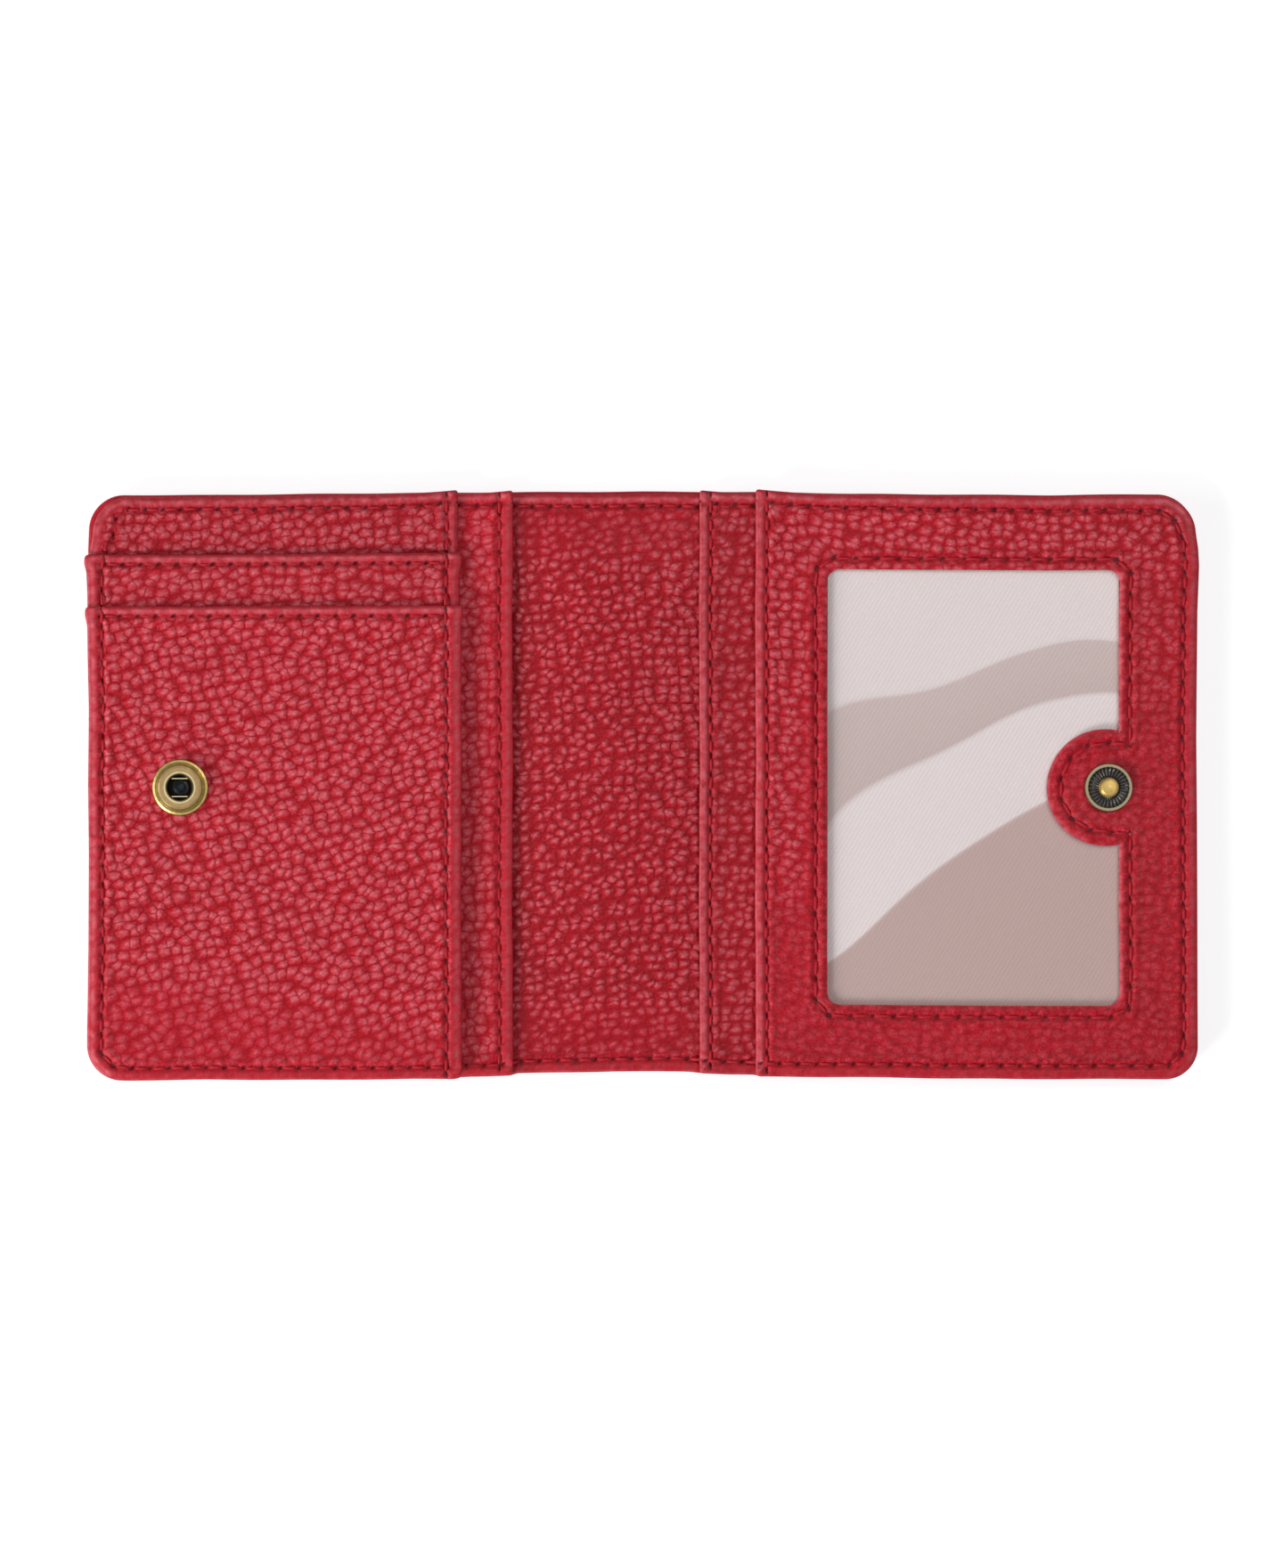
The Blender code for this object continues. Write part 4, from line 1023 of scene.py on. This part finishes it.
def grained_cowhide():
    """Pigmented cowhide, shrunk in the drum.

    Its colour holds painted light: pale painted highlights on the pebbles' tops and along the turned edges,
    and painted shade in the saturated valleys, the fine dark creases and the needle's holes, with a low
    sheen. Where the press has flattened the pebbles, it is mottled and dotted with darker sunk spots, painted
    shade. Places are counted in pebbles here, so that a scale of 6 gives six blotches to a pebble.
    """
    hollow_shade_red, highlight_pink, hole_shade_red = "#740312", "#DA6A75", "#4C040E"
    # The colours from valley to top: the dark end stands for painted shade, the pale end for painted
    # highlight.
    tops = [(0.0, "#A60C1C"), (0.25, "#B81C2B"), (0.5, "#C23441"), (0.75, "#CC4D58"), (1.0, "#D66870")]
    made, tree = material("grained_cowhide")
    place, sewn_in = (
        add(tree, "Attribute", attribute_name=name).outputs["Vector"] for name in ("grain", "pleat")
    )
    full, hole, tone, rim = (
        add(tree, "Attribute", attribute_name=name).outputs["Fac"]
        for name in ("fullness", "hole", "tone", "rim")
    )
    height, edge, small = pebbles(tree, place)
    loose = add(tree, "SeparateXYZ", [place]).outputs[2]
    mottle = add(tree, "TexNoise", {"Vector": place, "Scale": 6.0, "Detail": 3.0, "Roughness": 0.6})
    broken = add(tree, "TexNoise", {"Vector": place, "Scale": 1.3, "Detail": 2.0})

    # Painted highlight and shade: paler with the pebbles' height, for the sheen on their tops and the shade
    # in their valleys, and at one level where they are pressed flat.
    flat = add(tree, "MapRange", [full, 0.0, 0.7, 1.0, 0.0])
    stand = add(tree, "Mix", {0: flat, 2: height, 3: 0.22})
    pressed = add(tree, "MapRange", [full, 0.06, 0.18])
    pressed = add(tree, "Math", [flat, pressed], operation="MULTIPLY")
    mottling = add(tree, "MapRange", {0: pressed, 3: 0.5, 4: 1.5})
    level = add(tree, "Math", [mottle, 0.5], operation="SUBTRACT")
    level = add(tree, "Math", [level, mottling, stand], operation="MULTIPLY_ADD")
    tint = add(tree, "ValToRGB", [level], stops=tops)
    # Painted shade: darker dots where the pressed pebbles have sunk.
    dots = {"Vector": place, "Scale": 1.17, "Randomness": 0.8}
    dots = add(tree, "TexVoronoi", dots, voronoi_dimensions="2D")
    sunk = add(tree, "MapRange", {0: dots, 1: 0.46, 2: 0.14, 4: 0.55}, **SOFT)
    sunk = add(tree, "Math", [sunk, pressed], operation="MULTIPLY")
    tint = add(tree, "Mix", {0: sunk, 6: tint, 7: hollow_shade_red}, **COLOURS)

    # Broad patches, painted light and shade along the pleats beside the seams, and the sheet's tone, which
    # holds painted shade beside higher sheets and in the spine's corners.
    fold = pleats(tree, place, sewn_in)
    patch = add(tree, "TexNoise", {"Vector": place, "Scale": 0.3, "Detail": 3.0})
    shade = add(tree, "MapRange", [patch, 0.3, 0.7, 0.92, 1.06])
    shade = add(tree, "Math", [fold, 0.9, shade], operation="MULTIPLY_ADD")
    shade = add(tree, "Math", [shade, tone], operation="MULTIPLY")
    tint = add(tree, "Mix", {0: 1.0, 6: tint, 7: shade}, **PRODUCT)

    # Painted highlights along the edges, and painted shade in the creases round the pebbles, in finer ones on
    # them and in the needle's holes.
    # Painted highlight along the edges, broken up by patches.
    edge_highlight = add(tree, "MapRange", [broken, 0.36, 0.6, 0.3, 1.05])
    edge_highlight = add(tree, "Math", [rim, edge_highlight], operation="MULTIPLY")
    tint = add(tree, "Mix", {0: edge_highlight, 6: tint, 7: highlight_pink}, **COLOURS)
    tight = add(tree, "MapRange", {0: loose, 3: 1.0, 4: 0.45})
    creased = add(tree, "Math", [tight, full], operation="MULTIPLY")
    for distance, width, least, most in ((edge, 0.06, 0.0, 0.65), (small, 0.08, 0.05, 0.26)):
        thin = add(tree, "MapRange", [distance, 0.0, width, 1.0, 0.0])
        kept = add(tree, "MapRange", [broken, 0.38, 0.58, least, most])
        dark = add(tree, "Math", [thin, kept], operation="MULTIPLY")
        dark = add(tree, "Math", [dark, creased], operation="MULTIPLY")
        tint = add(tree, "Mix", {0: dark, 6: tint, 7: hollow_shade_red}, **COLOURS)
    # Painted shade in the needle's holes.
    hole_shade = add(tree, "MapRange", [hole, 0.25, 0.6, 0.0, 0.88])
    tint = add(tree, "Mix", {0: hole_shade, 6: tint, 7: hole_shade_red}, **COLOURS)

    # The finest relief: the skin's grit, the creases and the pleats.
    gloss = add(tree, "MapRange", [stand, 0.22, 1.0, 0.4, 0.36])
    fine = add(tree, "TexNoise", {"Vector": place, "Scale": 8.0, "Detail": 3.0, "Roughness": 0.6})
    crease_dip = add(tree, "MapRange", [edge, 0.0, 0.1, -1.0, 0.0])
    small_dip = add(tree, "MapRange", [small, 0.0, 0.12, -0.6, 0.0])
    dips = add(tree, "Math", [crease_dip, small_dip], operation="ADD")
    dips = add(tree, "Math", [dips, full], operation="MULTIPLY")
    grit = add(tree, "MapRange", {0: pressed, 3: 0.7, 4: 1.5})
    relief = add(tree, "Math", [fine, grit, dips], operation="MULTIPLY_ADD")
    relief = add(tree, "Math", [fold, 4.0, relief], operation="MULTIPLY_ADD")
    bump = add(tree, "Bump", {"Strength": 0.8, "Distance": 0.06 * MM, "Height": relief})
    coat(tree, {"Base Color": tint, "Roughness": gloss, "Specular IOR Level": 0.15, "Normal": bump})
    return made


def plain(name, colour, roughness, fibre=None, **looks):
    """One colour, uneven by fibres or scratches of a width in millimetres."""
    made, tree = material(name)
    looks = {key.replace("_", " "): value for key, value in looks.items()}
    looks |= {"Base Color": colour, "Roughness": roughness}
    if fibre:
        place = add(tree, "TexCoord").outputs["Object"]
        uneven = add(tree, "TexNoise", {"Vector": place, "Scale": 1 / (fibre * MM), "Detail": 2.0})
        shade = add(tree, "MapRange", [uneven, 0.3, 0.7, 0.8, 1.14])
        looks["Base Color"] = add(tree, "Mix", {0: 1.0, 6: colour, 7: shade}, **PRODUCT)
        looks["Normal"] = add(tree, "Bump", {"Strength": 0.5, "Distance": 0.3 * fibre * MM, "Height": uneven})
    coat(tree, looks)
    return made


LEATHER = grained_cowhide()
# Spun polyester: matt, with a fuzz that hides its shine.
THREAD_RED = plain("polyester_thread", "#B0202E", 0.6, fibre=0.2, Specular_IOR_Level=0.2)
# Nonwoven felt: chalky and cloudy.
FLEECE = plain("nonwoven_interlining", "#C9BFB4", 0.9, fibre=0.5)
# Plain-woven lining cloth: matt, with a faint mottle of yarns.
CLOTH = plain("pocket_cloth", "#8E3540", 0.9, fibre=0.35)
# Drawn brass wire: bright, with fine scratches.
SPRING = plain("spring_wire", "#D9CDA4", 0.25, fibre=0.1, Metallic=1.0)
# Clear plasticized vinyl: almost unseen, a thin pale veil over the twill.
FILM = plain("clear_vinyl", "#E8ECEC", 0.12, Alpha=0.14)

# The snap's largest radius, and the width of a patch of patina.
SNAP_REACH, PATCH = 5.0, 10 / 9


def turned_metal(name, node, centre, colours, flutes=None):
    """Drawn brass, darkened in its grooves: rings of colour round its axis, under a mottled patina.

    The colours are rows of a radius and a hex colour; flutes are (inner radius, outer radius, number).
    """
    made, tree = material(name)
    stops = [row.split() for row in colours.split(", ")]
    axis = bpy.data.objects[node].matrix_world.inverted() @ Vector((centre[0] * MM, centre[1] * MM, 0))
    place = add(tree, "TexCoord").outputs["Object"]
    spot = add(tree, "VectorMath", [place, (axis.x, axis.y, 0)], operation="SUBTRACT")
    parts = add(tree, "SeparateXYZ", [spot]).outputs
    flat = add(tree, "CombineXYZ", [parts[0], parts[1]])
    away = add(tree, "VectorMath", [flat], operation="LENGTH")
    share = add(tree, "Math", [away, 1 / (SNAP_REACH * MM)], operation="MULTIPLY")
    tint = add(tree, "ValToRGB", [share], stops=[(float(r) / SNAP_REACH, code) for r, code in stops])
    patina = {"Vector": place, "Scale": 1 / (PATCH * MM), "Detail": 4.0, "Roughness": 0.65}
    patina = add(tree, "TexNoise", patina)
    shade = add(tree, "MapRange", [patina, 0.3, 0.7, 0.72, 1.12])
    tint = add(tree, "Mix", {0: 1.0, 6: tint, 7: shade}, **PRODUCT)
    if flutes:
        # Painted light and shade: the flutes are striped paler and darker round the recess.
        low, high, count = flutes
        turn = add(tree, "Math", [parts[1], parts[0]], operation="ARCTAN2")
        wave = add(tree, "Math", [turn, float(count)], operation="MULTIPLY")
        wave = add(tree, "Math", [wave], operation="SINE")
        light = add(tree, "MapRange", [wave, -0.4, 1.0, 0.45, 1.5])
        ring = [
            add(tree, "MapRange", [share, start / SNAP_REACH, end / SNAP_REACH])
            for start, end in ((low, low + 0.15), (high + 0.15, high))
        ]
        inside = add(tree, "Math", ring, operation="MULTIPLY")
        fluted = add(tree, "Mix", {0: 1.0, 6: tint, 7: light}, **PRODUCT)
        tint = add(tree, "Mix", {0: inside, 6: tint, 7: fluted}, **COLOURS)
    worn = add(tree, "MapRange", [patina, 0.3, 0.7, 0.42, 0.24])
    bump = add(tree, "Bump", {"Strength": 0.25, "Distance": 0.03 * MM, "Height": patina})
    coat(tree, {"Base Color": tint, "Metallic": 1.0, "Roughness": worn, "Normal": bump})
    return made


# Aged brass: warm, pale on its worn rim and black down the hole.
SOCKET_BRASS = turned_metal(
    "antique_brass_cap",
    "snap_socket",
    SOCKET,
    "0 #12100E, 2.15 #15120F, 2.3 #3A3222, 2.45 #8E7A4A, 2.62 #E2D4A8, "
    "2.8 #A98E62, 3.7 #A58C60, 3.95 #8A7846, 4.25 #B8A468, 5 #A08E54",
)
# A rivet gone black in its hollow, seen only through the socket's hole.
SOCKET_DARK = turned_metal(
    "blackened_rivet",
    "socket_eyelet",
    SOCKET,
    "0 #2C3238, 0.9 #14171A, 1.4 #3A3830, 1.7 #0E0D0C, 5 #8A7848",
)
# Aged brass: a bright worn head in a dark recess, whose flutes are striped with painted light and shade.
STUD_BRASS = turned_metal(
    "antique_brass_stud",
    "snap_stud",
    STUD,
    "0 #C3A566, 1.3 #B6985A, 1.62 #6E5C36, 1.85 #1C1A18, 2.2 #3E3C3A, "
    "3.2 #4A4744, 3.5 #2A2722, 3.65 #948A70, 5 #8C8264",
    flutes=(1.9, 3.5, 30),
)
# Plain aged brass, hidden behind the tab.
STUD_RIVET = turned_metal("brass_rivet", "stud_eyelet", STUD, "0 #9C8852, 5 #9C8852")


def twill_cloth():
    """Printed polyester twill: fine ribs that rise to the right, under a soft print of wide ribbons."""
    # Widths in millimetres: a ribbon of the print, and a rib. A wave texture has 3.2 waves to its unit.
    ribbon, rib, waves = 25.0, 0.65, 3.2
    made, tree = material("printed_twill")
    place = add(tree, "TexCoord").outputs["Object"]
    slope = {"Vector": place, "Rotation": (0, 0, math.radians(-28)), "Scale": (1 / (ribbon * MM),) * 3}
    flow = add(tree, "Mapping", slope)
    wander = add(tree, "TexNoise", {"Vector": flow, "Scale": 0.35, "Detail": 0.6})
    across = add(tree, "SeparateXYZ", [flow]).outputs[1]
    bend = add(tree, "Math", [wander, 2.2, across], operation="MULTIPLY_ADD")
    share = add(tree, "MapRange", [bend, -1.4, 2.8])
    ribbons = [(0.0, "#C4968A"), (0.296, "#C69A90"), (0.3, "#FAEAE8"), (0.436, "#FAEAE9"), (0.44, "#D2B4AE")]
    ribbons += [(0.516, "#D8BCB6"), (0.52, "#F8E8E6"), (0.81, "#FAEAE8"), (0.82, "#FCECE2"), (1.0, "#E2CCC8")]
    tint = add(tree, "ValToRGB", [share], stops=ribbons)
    slant = add(tree, "Mapping", {"Vector": place, "Rotation": (0, 0, math.radians(30)), "Scale": (1,) * 3})
    ribs = add(tree, "TexWave", {"Vector": slant, "Scale": 1000 / rib / waves, "Distortion": 0.4})
    tint = add(tree, "Mix", {0: 0.1, 6: tint, 7: ribs}, **PRODUCT)
    bump = add(tree, "Bump", {"Strength": 0.5, "Distance": 0.05 * MM, "Height": ribs.outputs[1]})
    coat(tree, {"Base Color": tint, "Roughness": 0.75, "Normal": bump})
    return made


TWILL = twill_cloth()

# The thin cloth of the upper slot, the twill behind the window and the film over it.


def flat_sheet(name, gap, corner=0.4):
    """A flat sheet in the space of its CAD solid; corner is the lower left corner's radius."""
    (x0, y0, low), (x1, y1, high) = ([side / MM for side in ends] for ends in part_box(name))
    columns, rows = spaced((x0, gap), (x1, 0)), spaced((y0, gap), (y1, 0))
    piece, _ = slab(f"{name}_sheet", columns, rows, (corner, 0.4, 0.4, 0.4), high, [(0, low)], (0.04, 0.04))
    put(piece, settle(places(piece)))
    smooth(piece)
    pieces[name] = piece
    return piece


twill = flat_sheet("window_lining", 1.0)
flat_sheet("window_film", 2.0)
slot_cloth = flat_sheet("slot_lining", 1.0, 6.0)

# The snap keeps the frame's own turned shapes.

for node, finish in (
    ("snap_socket", SOCKET_BRASS),
    ("snap_stud", STUD_BRASS),
    ("socket_spring", SPRING),
    ("socket_eyelet", SOCKET_DARK),
    ("stud_eyelet", STUD_RIVET),
):
    thing = bpy.data.objects[node]
    thing.data.materials.clear()
    thing.data.materials.append(finish)

FINISHES = {
    "window_lining": (TWILL, "twill"),
    "window_film": (FILM, "clear_film"),
    "slot_lining": (CLOTH, "slot_cloth"),
}
BENT = ("_half", "left_edge_stitches", "right_edge_stitches", "_outer_stitches")
for name, piece in pieces.items():
    finish, slot = FINISHES.get(name, (LEATHER, "leather"))
    if name.endswith("stitches"):
        finish, slot = THREAD_RED, "thread"
    elif "interlining" in name:
        finish, slot = FLEECE, "interlining"
    piece.data.materials.clear()
    piece.data.materials.append(finish)
    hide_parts(*piece.get("stands_for", [name]))
    leaf = "left_leaf" if name.startswith(("left", "card", "slot", "upper", "lower")) else "right_leaf"
    if name.endswith(BENT):
        fold_blend(piece)
    else:
        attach(piece, leaf)

# The table, the light and the camera.


def seen_directly(tree):
    """1 for the camera's rays, reflections and what is seen through a clear sheet, and 0 for soft light."""
    path = add(tree, "LightPath").outputs
    seen = add(tree, "Math", [path["Is Camera Ray"], path["Is Glossy Ray"]], operation="MAXIMUM")
    return add(tree, "Math", [seen, path["Is Transmission Ray"]], operation="MAXIMUM")


deselect()
bpy.ops.mesh.primitive_plane_add(size=6, location=(0, 0, -0.3 * MM))
table = named(bpy.context.object, "table")
# White card: it glows, less near the wallet, where the lamps make up the rest but for a soft shadow.
made, tree = material("white_sweep")
away = add(tree, "VectorMath", [add(tree, "TexCoord").outputs["Object"]], operation="LENGTH")
level = add(tree, "MapRange", [away, 0.16, 0.6, 0.69, 1.0])
glow = add(tree, "Math", [seen_directly(tree), level], operation="MULTIPLY")
card = {"Base Color": (0.52, 0.52, 0.53, 1), "Roughness": 1.0, "Specular IOR Level": 0.0}
coat(tree, {**card, "Emission Color": "#FFFFFF", "Emission Strength": glow})
table.data.materials.append(made)

world = bpy.data.worlds.new("studio")
bpy.context.scene.world = world
world.use_nodes = True
tree = world.node_tree
tree.nodes.clear()
fill = add(tree, "Background", {"Color": (0.92, 0.94, 1.0, 1), "Strength": 0.18})
white = add(tree, "Background", {"Color": "#FFFFFF", "Strength": 1.0})
mix = add(tree, "MixShader", [seen_directly(tree), fill, white])
add(tree, "OutputWorld", {"Surface": mix})


def softbox(name, place, size, power, colour):
    """A square soft light that faces the wallet and isn't seen itself; place and size are in metres."""
    lamp = bpy.data.lights.new(name, "AREA")
    lamp.shape, lamp.size, lamp.energy, lamp.color = "SQUARE", size, power, colour
    thing = bpy.data.objects.new(name, lamp)
    bpy.context.collection.objects.link(thing)
    thing.location = place
    away = np.array(place)
    tilt = math.acos(away[2] / np.linalg.norm(away))
    thing.rotation_euler = (tilt, 0, math.atan2(away[1], away[0]) + math.pi / 2)
    thing.visible_camera = False


softbox("overhead_box", (0.5, 0.55, 1.25), 0.6, 7.5, (1.0, 0.99, 0.98))
softbox("front_box", (-0.8, -0.75, 0.6), 0.4, 11.0, (1.0, 0.98, 0.97))
softbox("side_box", (-1.1, 0.0, 0.4), 0.4, 4.5, (0.97, 0.98, 1.0))

# How far off the camera is, how wide its picture is there, both in metres, and its sensor in millimetres.
DISTANCE, PICTURE_WIDE, SENSOR = 1.2, 0.2218, 36
camera = bpy.data.objects.new("camera", bpy.data.cameras.new("camera"))
bpy.context.collection.objects.link(camera)
camera.location = (-0.08 * MM, 0.06 * MM, DISTANCE + 4 * MM)
camera.data.sensor_fit = "HORIZONTAL"
camera.data.sensor_width = SENSOR
camera.data.lens = SENSOR * DISTANCE / PICTURE_WIDE
bpy.context.scene.camera = camera
bpy.context.scene.view_settings.view_transform = "Standard"
